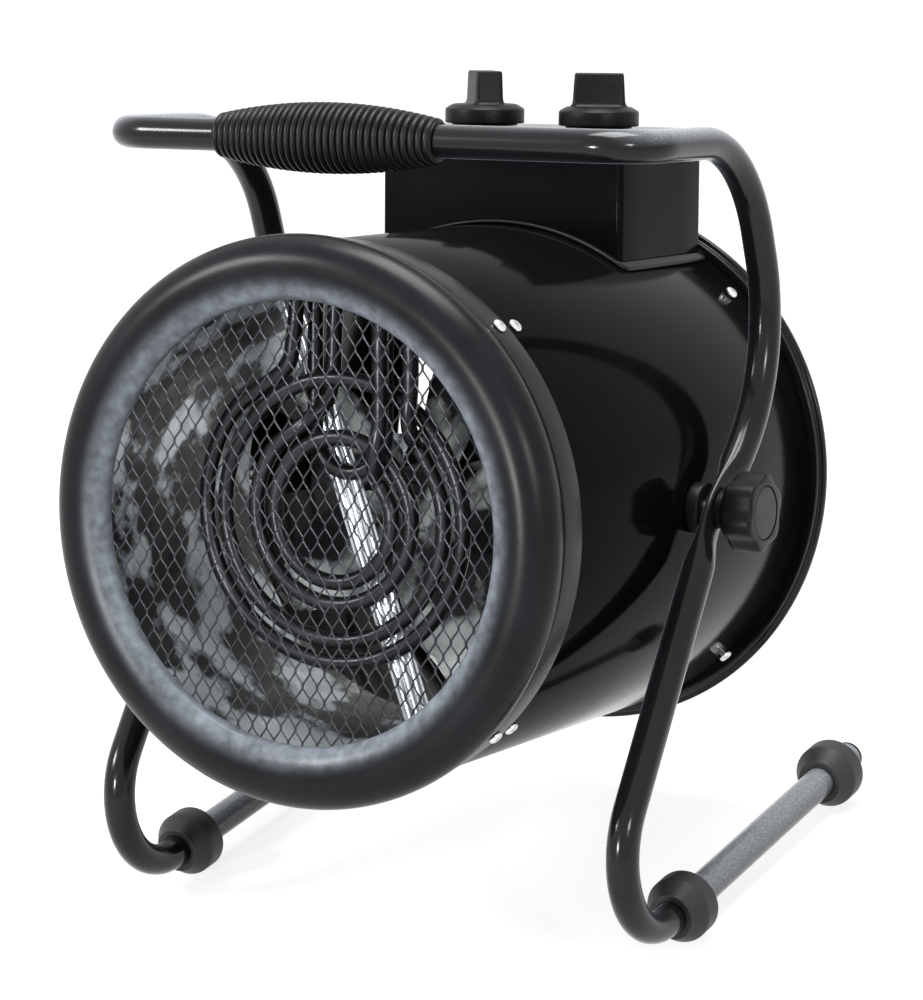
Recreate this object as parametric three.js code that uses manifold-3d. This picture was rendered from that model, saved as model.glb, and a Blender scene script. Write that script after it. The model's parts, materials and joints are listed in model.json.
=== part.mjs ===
// Round electric fan heater on a bent tube stand with a carrying handle.
// Millimetres, +Z up, warm air leaves towards -Y, the stand's two side frames lie at -X and +X.
// The heater is drawn level in its own group, with its axis along Y through the tilt pivots,
// and the group is then turned nose up to the angle that it is stored at.
import * as THREE from "three";
import { mergeVertices } from "three/addons/utils/BufferGeometryUtils.js";
import Module from "manifold-3d";

const wasm = await Module();
wasm.setup();

// ---- Driving dimensions ----
const GAP = 0.3; // between pieces that touch
const DEG = Math.PI / 180;

// Drum, its two rims and the inner duct. Stations along the axis: 0 is the tilt pivot.
const DRUM_R = 135;
const SHEET = 1.5;
const DRUM_FRONT = -142;
const DRUM_REAR = 144;
const COLLAR_LENGTH = 16;
const BEZEL_PROUD = 5;
const BEZEL_DEPTH = 14.6;
const BEZEL_NECK = 12.7;
const OUTLET_INSET = 26.6; // from the drum's radius to the lip's edge
const LIP_SETBACK = 8.8;
const REAR_PROUD = 7.5;
const REAR_RIM_DEPTH = 7.5;
const REAR_LIP = 13;
const DUCT_SPACE = 17.5; // between the drum's bore and the duct
const LINER_WALL = 1;
const LINER_REAR = -20;
const REST_TILT = 11.5;
const TURN_STEPS = 36;

// Expanded metal guard and rear guard.
const GUARD_THICK = 1;
const GUARD_OVERLAP = 3.6;
const DIAMOND_WIDE = 18;
const DIAMOND_TALL = 36;
const STRAND = 1.4;
const REAR_GUARD_RINGS = 5;
const REAR_GUARD_ARMS = 6;
const REAR_GUARD_HUB = 22;
const REAR_GUARD_BAR = 3;

// Sheathed heating elements, each of one rod with both ends led up: two flat spirals, and a
// hairpin behind them.
const ROD_R = 4;
const COIL_PLANE = -122;
const LEG_OFFSET = 11.5;
const LEG_PAST_LINER = 8;
const TURN_PITCH = 11;
const SPIRAL_TURNS = 1.8;
const OUTER_INSET = 38; // from the duct's wall to the outer spiral
const MIDDLE_INSET = 67; // from the duct's wall to the middle spiral
const HAIRPIN_R = 20;
const HAIRPIN_RISE = 40;
const OUTER_LEGS = [-24, 47];
const MIDDLE_LEGS = [-9, 30];
const COIL_START = 112;
const LOOP_STEPS = 21;
const ROD_SIDES = 6;

// Strip behind the elements, thermal cut-out on it, fan and motor.
const STRIP_WIDE = 16;
const STRIP_LEAN = -20;
const STRIP_THICK = 1.2;
const STRIP_RIB = 1.4;
const STRIP_TAB = 15;
const CUTOUT_R = 8;
const CUTOUT_TALL = 9;
const CUTOUT_ALONG = 62;
const FAN_CLEARANCE = 12;
const FAN_HUB_R = 18;
const FAN_HUB_LONG = 28;
const FAN_FRONT = -50;
const FAN_BLADES = 5;
const FAN_PITCH = 28;
const BLADE_THICK = 1.6;
const SHAFT_R = 4;
const MOTOR_R = 42;
const MOTOR_FRONT = 8;
const MOTOR_LONG = 62;
const MOTOR_NOSE = 4;
const BRACKET_WIDE = 34;
const BRACKET_TAB = 20;

// Control box on its saddle, switches and knobs.
const BOX_WIDE = 141.6;
const BOX_LONG = 94;
const BOX_SETBACK = 8.5; // from the drum's rear edge to the box
const BOX_RISE = 48.5;
const BOX_CORNER = 3;
const SADDLE_LIP = 4;
const SADDLE_THICK = 2;
const CABLE_HOLE_R = 12;
const KNOB_R = 21.2;
const KNOB_RIM = 9;
const KNOB_CHAMFER = 2.7;
const KNOB_TALL = 29;
const GRIP_LONG = 27;
const GRIP_THICK = 14.5;
const GRIP_DRAFT = 0.94;
const SPINDLE_R = 3;
const SPINDLE_IN_KNOB = 15;
const SPINDLE_IN_SWITCH = 12;
const KNOBS = [
  { name: "selector", x: -0.249 * BOX_WIDE, turned: -49.5 },
  { name: "thermostat", x: 0.234 * BOX_WIDE, turned: 27 },
];
const SWITCH_TALL = 26;
const SELECTOR_SIDE = 32;
const THERMOSTAT_R = 17;
const GLAND_R = 8;
const GLAND_BORE_R = 4.5;
const GLAND_RISE = 25;

// Stand: one bent tube, from one skid's end round to the other's.
const TUBE_R = 8.2;
const TUBE_WALL = 1.5;
const SIDE_GAP = 2.8;
const PIVOT_Z = 204;
const FOOT_R = 17.2;
const FOOT_FACE_R = 12;
const FOOT_LONG = 23;
const FOOT_CONE = 9;
const FOOT_SETBACK = 4;
const FOOT_FROM_END = 26;
const LEG_ANGLE = 45;
const SKID_END = 138;
const REAR_BEND = [84.1, 48.8];
const TOP_BEND = [62.1, 173.3];
const BAR_ANGLE = 106.8;
const BAR_CLEARANCE = 2.2;
const BAR_FLARE = 5; // each end of the bar beyond the side frame
const BAR_BEND_R = 25;
const TOP_BEND_R = 75;
const REAR_BEND_R = 90;
const PIVOT_BEND_R = 60;
const FRONT_BEND_R = 41.5;
const PRESSED = 0.45;
const PRESSED_WIDER = 1.3;
const PRESSED_HALF = 12;
const PRESSED_FADE = 22;
const HAND_GRIP_R = 17.7;
const HAND_GRIP_END_R = 11;
const HAND_GRIP_LONG = 124;
const HAND_GRIP_X = -20;
const HAND_GRIP_RIBS = 33;
const RIB_DEPTH = 1.3;
const PLUG_HEAD = 3;
const PLUG_LONG = 14;

// Tilt pivots: stud, spacer, nut and lobed clamp knob on each side.
const STUD_R = 4;
const STUD_HOLE_R = 4.3;
const SPACER_R = 13;
const NUT_R = 7.5;
const NUT_THICK = 6;
const STUD_PAST_NUT = 3;
const CLAMP_R = 20;
const CLAMP_LOBE = 1.6;
const CLAMP_HUB_R = 10;
const CLAMP_HUB_LONG = 7;
const CLAMP_FLARE = 5;
const CLAMP_THICK = 12;
const CLAMP_LOBES = 6;
const CAP_R = 13.4;
const CAP_THICK = 2;
const STUD_IN_CLAMP = 16;

// Pan head screws round both rims.
const SCREW_HEAD_R = 3.6;
const SCREW_HEAD_TALL = 2;
const SCREW_R = 1.8;
const SCREW_HOLE_R = 2.4;
const SCREW_LONG = 7;
const SCREW_PITCH = 18;
const SCREW_ANGLES = { top_right: 46, top_left: 134, bottom_left: 226, bottom_right: 314 };

// ---- Sizes that follow from them ----
const drumBore = DRUM_R - SHEET;
const outletR = DRUM_R - OUTLET_INSET;
const intakeR = DRUM_R - REAR_LIP;
const linerR = drumBore - DUCT_SPACE;
const fanR = linerR - FAN_CLEARANCE;
const collarInner = DRUM_R + GAP;
const collarOuter = collarInner + SHEET;
const SPIRALS = [
  { name: "heating_element_outer", outer: linerR - OUTER_INSET, legs: OUTER_LEGS, planes: [0, -1] },
  { name: "heating_element_middle", outer: linerR - MIDDLE_INSET, legs: MIDDLE_LEGS, planes: [1, -1] },
];
const HAIRPIN = { name: "heating_element_inner", legs: [-HAIRPIN_R, HAIRPIN_R], planes: [1, 1] };
const ELEMENTS = [...SPIRALS, HAIRPIN];
const bezelR = DRUM_R + BEZEL_PROUD;
const rearRimR = DRUM_R + REAR_PROUD;
const bezelCentre = DRUM_FRONT - BEZEL_NECK;
const bezelCrestR = (bezelR + outletR) / 2;
const bezelFront = bezelCentre - BEZEL_DEPTH;
const lipFront = bezelFront + LIP_SETBACK;
const guardFront = lipFront + SHEET + GAP;
const guardBack = guardFront + GUARD_THICK;
const linerFront = guardBack + GAP;
const linerInner = linerR - LINER_WALL;
const collarBack = DRUM_FRONT + COLLAR_LENGTH;
const rearGuardFront = DRUM_REAR + GAP;
const rearFace = rearGuardFront + SHEET + GAP;
const saddleInner = DRUM_R + GAP;
const saddleOuter = saddleInner + SADDLE_THICK;
const boxFloorR = saddleOuter + GAP;
const boxTop = DRUM_R + BOX_RISE;
const boxRear = DRUM_REAR - BOX_SETBACK;
const boxFront = boxRear - BOX_LONG;
const boxMiddle = (boxFront + boxRear) / 2;
const stripReach = linerInner * Math.cos(Math.PI / TURN_STEPS) - GAP;
const bracketReach = drumBore * Math.cos(Math.PI / TURN_STEPS) - GAP;
const stripBack = COIL_PLANE + LEG_OFFSET + ROD_R + STRIP_RIB + STRIP_THICK + GAP;
const sideX = DRUM_R + SIDE_GAP + TUBE_R;
const pressedHalf = TUBE_R * PRESSED;
const barReach = Math.hypot(boxFront, boxTop) + HAND_GRIP_R + BAR_CLEARANCE;
const barY = barReach * Math.cos(BAR_ANGLE * DEG);
const barZ = PIVOT_Z + barReach * Math.sin(BAR_ANGLE * DEG);
const frontCornerY = -(PIVOT_Z - FOOT_R) / Math.tan(LEG_ANGLE * DEG);
const skidStart = frontCornerY + FRONT_BEND_R / Math.tan((LEG_ANGLE / 2) * DEG);
const frontFootY = skidStart + FOOT_SETBACK + FOOT_LONG / 2;
const rearFootY = SKID_END - FOOT_FROM_END;
const clampStart = sideX + pressedHalf + GAP;
const clampFace = clampStart + CLAMP_HUB_LONG + CLAMP_FLARE + CLAMP_THICK;

// ---- Finishes ----
const paint = (color, roughness, metalness) =>
  new THREE.MeshStandardMaterial({ color, roughness, metalness });
const glossBlack = paint(0x17181b, 0.3, 0.2);
const satinBlack = paint(0x3a3c40, 0.45, 0.2);
const meshBlack = paint(0x2a2b2e, 0.5, 0.4);
const rubber = paint(0x2b2b2d, 0.8, 0);
const plastic = paint(0x26272a, 0.5, 0);
const zinc = paint(0xc9cbcd, 0.35, 0.9);
const galvanised = paint(0xb4bac0, 0.4, 0.8);
const sheath = paint(0x34363a, 0.45, 0.6);

// ---- Geometry helpers ----

// Merges shared corners, drops flat triangles and turns the faces outwards.
function closed(geometry) {
  geometry.deleteAttribute("normal");
  geometry.deleteAttribute("uv");
  const merged = mergeVertices(geometry, 1e-4);
  const at = merged.attributes.position;
  const corner = (i) => new THREE.Vector3().fromBufferAttribute(at, i);
  const kept = [];
  let volume = 0;
  for (let i = 0; i < merged.index.count; i += 3) {
    const [a, b, c] = [0, 1, 2].map((k) => merged.index.getX(i + k));
    if (a === b || b === c || c === a) continue;
    kept.push(a, b, c);
    volume += corner(a).dot(corner(b).cross(corner(c)));
  }
  if (volume < 0) kept.reverse();
  merged.setIndex(kept);
  return merged;
}

function solidOf(geometry) {
  const made = closed(geometry);
  const vertProperties = new Float32Array(made.attributes.position.array);
  const triVerts = new Uint32Array(made.index.array);
  return new wasm.Manifold(new wasm.Mesh({ numProp: 3, vertProperties, triVerts }));
}

function geometryOf(solid) {
  const mesh = solid.getMesh();
  const geometry = new THREE.BufferGeometry();
  geometry.setAttribute("position", new THREE.BufferAttribute(mesh.vertProperties, 3));
  geometry.setIndex(new THREE.BufferAttribute(mesh.triVerts, 1));
  return geometry;
}

const cut = (geometry, ...tools) =>
  geometryOf(tools.reduce((left, tool) => left.subtract(solidOf(tool)), solidOf(geometry)));
const join = (geometry, ...others) =>
  geometryOf(others.reduce((left, other) => left.add(solidOf(other)), solidOf(geometry)));
const common = (geometry, ...others) =>
  geometryOf(others.reduce((left, other) => left.intersect(solidOf(other)), solidOf(geometry)));

// Turns a profile of [radius, station along Y] points round the Y axis.
const turned = (profile, steps = TURN_STEPS) =>
  new THREE.LatheGeometry(profile.map(([r, y]) => new THREE.Vector2(r, y)), steps);
const ringProfile = (inner, outer, from, to) => [
  [inner, from], [outer, from], [outer, to], [inner, to], [inner, from],
];
const plug = (r, from, to, steps = 24) => turned([[0, from], [r, from], [r, to], [0, to]], steps);
const alongX = (geometry) => geometry.rotateZ(-Math.PI / 2);
const alongZ = (geometry) => geometry.rotateX(Math.PI / 2);
const outline = (points) => new THREE.Shape(points.map(([x, y]) => new THREE.Vector2(x, y)));
const slab = (shape, depth) =>
  new THREE.ExtrudeGeometry(shape, { depth, bevelEnabled: false, curveSegments: 4 });
const block = (w, l, h) => new THREE.BoxGeometry(w, l, h);

function circlePoints(r, sides, start = 0) {
  return Array.from({ length: sides }, (_, i) => {
    const a = start + (i / sides) * 2 * Math.PI;
    return [r * Math.cos(a), r * Math.sin(a)];
  });
}

// Points of an elliptic arc in a [radius, station] profile.
function arc(centre, radii, from, to, steps) {
  return Array.from({ length: steps + 1 }, (_, i) => {
    const a = (from + ((to - from) * i) / steps) * DEG;
    return [centre[0] + radii[0] * Math.cos(a), centre[1] - radii[1] * Math.sin(a)];
  });
}

function roundedRectangle(w, l, r) {
  const shape = new THREE.Shape();
  const [x, y] = [w / 2 - r, l / 2 - r];
  shape.absarc(x, y, r, 0, Math.PI / 2, false);
  shape.absarc(-x, y, r, Math.PI / 2, Math.PI, false);
  shape.absarc(-x, -y, r, Math.PI, 1.5 * Math.PI, false);
  shape.absarc(x, -y, r, 1.5 * Math.PI, 2 * Math.PI, false);
  return shape;
}

const heater = new THREE.Group();
const drum = new THREE.Group();
drum.position.z = PIVOT_Z;
drum.rotation.x = -REST_TILT * DEG;
heater.add(drum);

function piece(parent, name, geometry, material) {
  const mesh = new THREE.Mesh(closed(geometry), material);
  mesh.name = name;
  parent.add(mesh);
  return mesh;
}

// A path through given stations, which stay where they are when it is swept.
class StationPath extends THREE.Curve {
  constructor(stations) {
    super();
    this.stations = stations;
  }
  getPoint(t, target = new THREE.Vector3()) {
    const last = this.stations.length - 1;
    const s = Math.min(Math.max(t, 0) * last, last);
    const i = Math.min(Math.floor(s), last - 1);
    return target.lerpVectors(this.stations[i], this.stations[i + 1], s - i);
  }
  getUtoTmapping(u) {
    return u;
  }
}

function sweep(stations, section) {
  const extrudePath = new StationPath(stations);
  const steps = stations.length - 1;
  return new THREE.ExtrudeGeometry(section, { steps, extrudePath, bevelEnabled: false });
}

// Stations along a run of corners, each rounded to its own radius.
function bentStations(corners, stepAngle) {
  const stations = [corners[0].at];
  for (let i = 1; i < corners.length - 1; i++) {
    const [before, here, after] = [corners[i - 1].at, corners[i].at, corners[i + 1].at];
    const inward = before.clone().sub(here).normalize();
    const onward = after.clone().sub(here).normalize();
    const turn = Math.PI - inward.angleTo(onward);
    const tangent = corners[i].r * Math.tan(turn / 2);
    const toCentre = inward.clone().add(onward).normalize();
    const centre = here.clone().addScaledVector(toCentre, corners[i].r / Math.cos(turn / 2));
    const start = here.clone().addScaledVector(inward, tangent).sub(centre);
    const axis = new THREE.Vector3().crossVectors(inward, onward).normalize().negate();
    const steps = Math.max(2, Math.ceil(turn / DEG / stepAngle));
    for (let k = 0; k <= steps; k++)
      stations.push(start.clone().applyAxisAngle(axis, (turn * k) / steps).add(centre));
  }
  stations.push(corners[corners.length - 1].at);
  return stations;
}

// ---- Stand ----

const sideCorners = (side) => [
  { at: new THREE.Vector3(side * sideX, SKID_END, FOOT_R) },
  { at: new THREE.Vector3(side * sideX, frontCornerY, FOOT_R), r: FRONT_BEND_R },
  { at: new THREE.Vector3(side * sideX, 0, PIVOT_Z), r: PIVOT_BEND_R },
  { at: new THREE.Vector3(side * sideX, REAR_BEND[0], PIVOT_Z + REAR_BEND[1]), r: REAR_BEND_R },
  { at: new THREE.Vector3(side * sideX, TOP_BEND[0], PIVOT_Z + TOP_BEND[1]), r: TOP_BEND_R },
  { at: new THREE.Vector3(side * (sideX + BAR_FLARE), barY, barZ), r: BAR_BEND_R },
];

// Adds stations on the straights next to the pivots, where the tube is pressed flat.
function withPressedStations(stations) {
  const pivotHeight = new THREE.Vector2(0, PIVOT_Z);
  const distance = (p) => new THREE.Vector2(p.y, p.z).distanceTo(pivotHeight);
  const reach = PRESSED_HALF + PRESSED_FADE;
  const full = [stations[0]];
  for (let i = 1; i < stations.length; i++) {
    const [a, b] = [stations[i - 1], stations[i]];
    const near = Math.min(distance(a), distance(b));
    const far = Math.max(distance(a), distance(b));
    const marks = [0, 0.33, 0.67, 1].map((k) => PRESSED_HALF + k * PRESSED_FADE);
    const inside = marks.filter((m) => near < reach && m > near + 1 && m < far - 1);
    const shares = inside.map((m) => (m - near) / (far - near));
    const ordered = distance(a) < distance(b) ? shares : shares.map((s) => 1 - s).reverse();
    ordered.forEach((s) => full.push(a.clone().lerp(b, s)));
    full.push(b);
  }
  return full;
}

// Flattens the tube across X near both pivots and spreads it along its own plane.
function pressFlat(geometry) {
  const across = new THREE.Vector2(-Math.sin(LEG_ANGLE * DEG), Math.cos(LEG_ANGLE * DEG));
  const at = geometry.attributes.position;
  for (let i = 0; i < at.count; i++) {
    const side = Math.sign(at.getX(i));
    const offset = new THREE.Vector2(at.getY(i), at.getZ(i) - PIVOT_Z);
    const out = (offset.length() - PRESSED_HALF) / PRESSED_FADE;
    const share = 1 - THREE.MathUtils.smoothstep(out, 0, 1);
    const fromPlane = at.getX(i) - side * sideX;
    if (Math.abs(fromPlane) > 2 * TUBE_R) continue;
    const spread = offset.dot(across) * (PRESSED_WIDER - 1) * share;
    at.setX(i, side * sideX + fromPlane * (1 - (1 - PRESSED) * share));
    at.setY(i, at.getY(i) + across.x * spread);
    at.setZ(i, at.getZ(i) + across.y * spread);
  }
  return geometry;
}

const pivotHole = (r, from, to) => alongX(plug(r, from, to, 12));

function standTube() {
  const right = sideCorners(1);
  const left = sideCorners(-1).reverse();
  const stations = withPressedStations(bentStations([...right, ...left], 24));
  const section = outline(circlePoints(TUBE_R, 10));
  section.holes.push(outline(circlePoints(TUBE_R - TUBE_WALL, 6)));
  const tube = pressFlat(sweep(stations, section));
  const reach = sideX + 2 * TUBE_R;
  const hole = pivotHole(STUD_HOLE_R, -reach, reach).translate(0, 0, PIVOT_Z);
  return cut(tube, hole);
}

// Ribbed rubber sleeve, thicker in the middle, with one crest and one valley to each rib.
function handGrip() {
  const half = HAND_GRIP_LONG / 2;
  const pitch = HAND_GRIP_LONG / HAND_GRIP_RIBS;
  const bulge = (y) => {
    return HAND_GRIP_END_R + (HAND_GRIP_R - HAND_GRIP_END_R) * (1 - (y / half) ** 2);
  };
  const profile = [[TUBE_R + GAP, -half], [bulge(half) - RIB_DEPTH, -half]];
  for (let rib = 0; rib < HAND_GRIP_RIBS; rib++) {
    const crest = -half + (rib + 0.5) * pitch;
    profile.push([bulge(crest), crest]);
    profile.push([bulge(crest + pitch / 2) - RIB_DEPTH, crest + pitch / 2]);
  }
  profile.push([TUBE_R + GAP, half], [TUBE_R + GAP, -half]);
  return alongX(turned(profile, 12)).translate(HAND_GRIP_X, barY, barZ);
}

// Rubber bush foot: a cone at the front, a rim that stands on the floor, a small rear chamfer.
function foot() {
  const sides = 16;
  const trueR = FOOT_R / Math.cos(Math.PI / sides);
  const half = FOOT_LONG / 2;
  const bush = turned([
    [TUBE_R + GAP, -half],
    [FOOT_FACE_R, -half],
    [trueR, -half + FOOT_CONE],
    [trueR, half - 3],
    [trueR - 3, half],
    [TUBE_R + GAP, half],
    [TUBE_R + GAP, -half],
  ], sides);
  return bush.rotateY(Math.PI / sides);
}

// Plastic plug: a head as wide as the tube and a shank inside it.
function tubePlug() {
  const shankR = (TUBE_R - TUBE_WALL) * Math.cos(Math.PI / 6) - GAP;
  return turned([
    [0, -PLUG_LONG + PLUG_HEAD],
    [shankR, -PLUG_LONG + PLUG_HEAD],
    [shankR, GAP],
    [TUBE_R, GAP],
    [TUBE_R, PLUG_HEAD - 1],
    [TUBE_R - 1, PLUG_HEAD],
    [0, PLUG_HEAD],
  ], 10);
}

piece(heater, "stand_tube", standTube(), glossBlack);
piece(heater, "handle_grip", handGrip(), rubber);
for (const [side, word] of [[1, "right"], [-1, "left"]]) {
  const at = (y) => [side * sideX, y, FOOT_R];
  piece(heater, "foot_front_" + word, foot().translate(...at(frontFootY)), rubber);
  piece(heater, "foot_rear_" + word, foot().translate(...at(rearFootY)), rubber);
  piece(heater, "tube_plug_" + word, tubePlug().translate(...at(SKID_END)), plastic);
}

// ---- Drum and rims ----

const screwStations = {
  front_collar: DRUM_FRONT + COLLAR_LENGTH / 2,
  front_drum: DRUM_FRONT + COLLAR_LENGTH / 2 + SCREW_PITCH,
  rear: DRUM_REAR - SCREW_PITCH,
};

// A tool or screw pointing out of the drum at a given station and angle about its axis.
const radial = (geometry, station, angle) =>
  alongX(geometry).rotateY(-angle * DEG).translate(0, station, 0);
const screwHoles = (stations) =>
  stations.flatMap((station) =>
    Object.values(SCREW_ANGLES).map((angle) =>
      radial(plug(SCREW_HOLE_R, DRUM_R - 10, DRUM_R + 10, 6), station, angle)));

function drumShell() {
  const shell = turned(ringProfile(drumBore, DRUM_R, DRUM_FRONT + GAP, DRUM_REAR - GAP));
  const cable = alongZ(plug(CABLE_HOLE_R, 0, DRUM_R + 5)).translate(0, boxMiddle, 0);
  const studs = pivotHole(STUD_HOLE_R, -DRUM_R - 5, DRUM_R + 5);
  return cut(shell, cable, studs, ...screwHoles(Object.values(screwStations)));
}

// Rolled front rim: a collar over the drum, a neck, a full round and a lip turned into the outlet.
function frontRing() {
  const neckR = drumBore - GAP;
  const outerRadii = [bezelR - bezelCrestR, BEZEL_DEPTH];
  const lipRadii = [bezelCrestR - outletR, LIP_SETBACK];
  const innerRadii = [outerRadii[0] - SHEET, BEZEL_DEPTH - SHEET];
  const innerLip = [lipRadii[0], LIP_SETBACK];
  const centre = [bezelCrestR, bezelCentre];
  const lipCentre = [bezelCrestR, lipFront];
  const innerLipCentre = [bezelCrestR, lipFront + SHEET];
  const profile = [
    [collarInner, collarBack],
    [collarOuter, collarBack],
    [collarOuter, DRUM_FRONT - SHEET - GAP],
    [neckR + SHEET, DRUM_FRONT - SHEET - GAP],
    [neckR + SHEET, DRUM_FRONT - 2 * SHEET - GAP],
    ...arc(centre, outerRadii, -32, 90, 6),
    ...arc(lipCentre, lipRadii, 90, 180, 3).slice(1),
    ...arc(innerLipCentre, innerLip, 180, 90, 2),
    ...arc(centre, innerRadii, 90, -32, 3).slice(1),
    [neckR, DRUM_FRONT - 2 * SHEET - GAP],
    [neckR, DRUM_FRONT - GAP],
    [collarInner, DRUM_FRONT - GAP],
    [collarInner, collarBack],
  ];
  return cut(turned(profile), ...screwHoles([screwStations.front_collar]));
}

// Rear rim: a band proud of the drum, turned in over the edge of the rear guard.
function rearRing() {
  const front = rearFace + SHEET - REAR_RIM_DEPTH;
  const back = rearFace + SHEET;
  return turned([
    [collarInner, front],
    [rearRimR, front],
    [rearRimR, back - 2],
    [rearRimR - 2, back],
    [intakeR, back],
    [intakeR, rearFace],
    [collarInner, rearFace],
    [collarInner, front],
  ]);
}

// The part of a polygon that lies inside a round window.
function clipToWindow(points, window) {
  let kept = points;
  window.forEach(([ax, ay], i) => {
    const [bx, by] = window[(i + 1) % window.length];
    const inside = ([x, y]) => (bx - ax) * (y - ay) - (by - ay) * (x - ax);
    kept = kept.flatMap((p, k) => {
      const q = kept[(k + 1) % kept.length];
      const [dp, dq] = [inside(p), inside(q)];
      const crossing = [
        p[0] + ((q[0] - p[0]) * dp) / (dp - dq),
        p[1] + ((q[1] - p[1]) * dp) / (dp - dq),
      ];
      if (dp >= 0 && dq >= 0) return [p];
      if (dp >= 0) return [p, crossing];
      return dq >= 0 ? [crossing] : [];
    });
  });
  return kept;
}

const areaOf = (points) =>
  points.reduce((sum, [x, y], i) => {
    const [u, v] = points[(i + 1) % points.length];
    return sum + (x * v - u * y) / 2;
  }, 0);

const withoutShortEdges = (points, least) =>
  points.filter(([x, y], i) => {
    const [u, v] = points[(i + 1) % points.length];
    return Math.hypot(u - x, v - y) > least;
  });

// Flat sheet of upright diamonds in staggered rows, with a plain rim under the front lip.
function frontGuard() {
  const rimR = outletR + GUARD_OVERLAP;
  const window = circlePoints(outletR, 32);
  const sheet = outline(circlePoints(rimR, TURN_STEPS));
  const [w, t] = [DIAMOND_WIDE / 2, DIAMOND_TALL / 2];
  const lean = Math.hypot(w, t) / t;
  const [hw, ht] = [w - (STRAND / 2) * lean, t - (STRAND / 2) * (Math.hypot(w, t) / w)];
  const columns = Math.ceil(rimR / w);
  const rows = Math.ceil(rimR / t);
  for (let i = -columns; i <= columns; i++)
    for (let j = -rows; j <= rows; j++) {
      if ((i + j) % 2 !== 0) continue;
      const [x, y] = [i * w, j * t];
      const diamond = [[x + hw, y], [x, y + ht], [x - hw, y], [x, y - ht]];
      const hole = withoutShortEdges(clipToWindow(diamond, window), STRAND / 2);
      if (hole.length > 2 && areaOf(hole) > STRAND * DIAMOND_WIDE) sheet.holes.push(outline(hole));
    }
  return slab(sheet, GUARD_THICK).rotateX(Math.PI / 2).translate(0, guardBack, 0);
}

// Pressed rear guard: rings carried on straight arms.
function rearGuard() {
  const sheet = outline(circlePoints(collarInner - GAP, TURN_STEPS));
  const pitch = (intakeR - REAR_GUARD_HUB) / REAR_GUARD_RINGS;
  const sector = (2 * Math.PI) / REAR_GUARD_ARMS;
  for (let ring = 0; ring < REAR_GUARD_RINGS; ring++)
    for (let arm = 0; arm < REAR_GUARD_ARMS; arm++) {
      const inner = REAR_GUARD_HUB + ring * pitch + REAR_GUARD_BAR / 2;
      const outer = inner + pitch - REAR_GUARD_BAR;
      const edge = (r, share) => {
        const margin = REAR_GUARD_BAR / 2 / r;
        const a = (arm + (ring % 2) / 2) * sector + margin + share * (sector - 2 * margin);
        return [r * Math.cos(a), r * Math.sin(a)];
      };
      const shares = [0, 0.5, 1];
      const hole = [...shares.map((s) => edge(outer, s)), ...shares.reverse().map((s) => edge(inner, s))];
      sheet.holes.push(outline(hole));
    }
  return slab(sheet, SHEET).rotateX(Math.PI / 2).translate(0, rearGuardFront + SHEET, 0);
}

// Bright inner duct round the elements and the fan, flanged to the guard and to the drum.
function innerLiner() {
  const frontFlangeR = outletR + GUARD_OVERLAP;
  const duct = turned([
    [frontFlangeR - 2, linerFront],
    [linerR, linerFront],
    [linerR, LINER_REAR - LINER_WALL],
    [drumBore - GAP, LINER_REAR - LINER_WALL],
    [drumBore - GAP, LINER_REAR],
    [linerInner, LINER_REAR],
    [linerInner, linerFront + LINER_WALL],
    [frontFlangeR - 2, linerFront + LINER_WALL],
    [frontFlangeR - 2, linerFront],
  ]);
  const legHoleR = (ROD_R + GAP) / Math.cos(Math.PI / 8);
  const legHoles = ELEMENTS.flatMap((element) =>
    element.legs.map((x, end) =>
      alongZ(plug(legHoleR, linerR / 2, linerR + LEG_PAST_LINER, 8))
        .translate(x, COIL_PLANE + element.planes[end] * LEG_OFFSET, 0)));
  return cut(duct, ...legHoles);
}

piece(drum, "drum_shell", drumShell(), glossBlack);
piece(drum, "front_ring", frontRing(), satinBlack);
piece(drum, "front_guard", frontGuard(), meshBlack);
piece(drum, "rear_ring", rearRing(), satinBlack);
piece(drum, "rear_guard", rearGuard(), meshBlack);
piece(drum, "inner_liner", innerLiner(), galvanised);

// ---- Heating elements ----

const legTop = (x) => Math.sqrt(linerR ** 2 - x ** 2) + LEG_PAST_LINER;

// Leg down, flat spiral inwards, then out of the spiral's plane and up again as the second leg.
function spiralStations({ outer, legs, planes }) {
  const planeY = (end) => COIL_PLANE + planes[end] * LEG_OFFSET;
  const key = [];
  const add = (x, y, z) => key.push(new THREE.Vector3(x, y, z));
  add(legs[0], planeY(0), legTop(legs[0]));
  add(legs[0], planeY(0), (legTop(legs[0]) + outer) / 2 + 6);
  add(legs[0] - 2, planeY(0) * 0.7 + COIL_PLANE * 0.3, outer + 7);
  const steps = Math.round(SPIRAL_TURNS * 12);
  for (let i = 0; i <= steps; i++) {
    const a = (COIL_START + (SPIRAL_TURNS * 360 * i) / steps) * DEG;
    const r = outer - (TURN_PITCH * SPIRAL_TURNS * i) / steps;
    add(r * Math.cos(a), COIL_PLANE, r * Math.sin(a));
  }
  const end = key[key.length - 1];
  const side = legs[1] - end.x;
  add(end.x + side * 0.3, COIL_PLANE + planes[1] * LEG_OFFSET * 0.55, end.z + 4);
  add(end.x + side * 0.6, planeY(1), end.z + 12);
  add(legs[1], planeY(1), end.z + 30);
  add(legs[1], planeY(1), (end.z + 30 + legTop(legs[1])) / 2);
  add(legs[1], planeY(1), legTop(legs[1]));
  const curve = new THREE.CatmullRomCurve3(key, false, "centripetal");
  curve.arcLengthDivisions = 1200;
  return curve.getSpacedPoints(Math.round(SPIRAL_TURNS * LOOP_STEPS) + 14);
}

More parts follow.
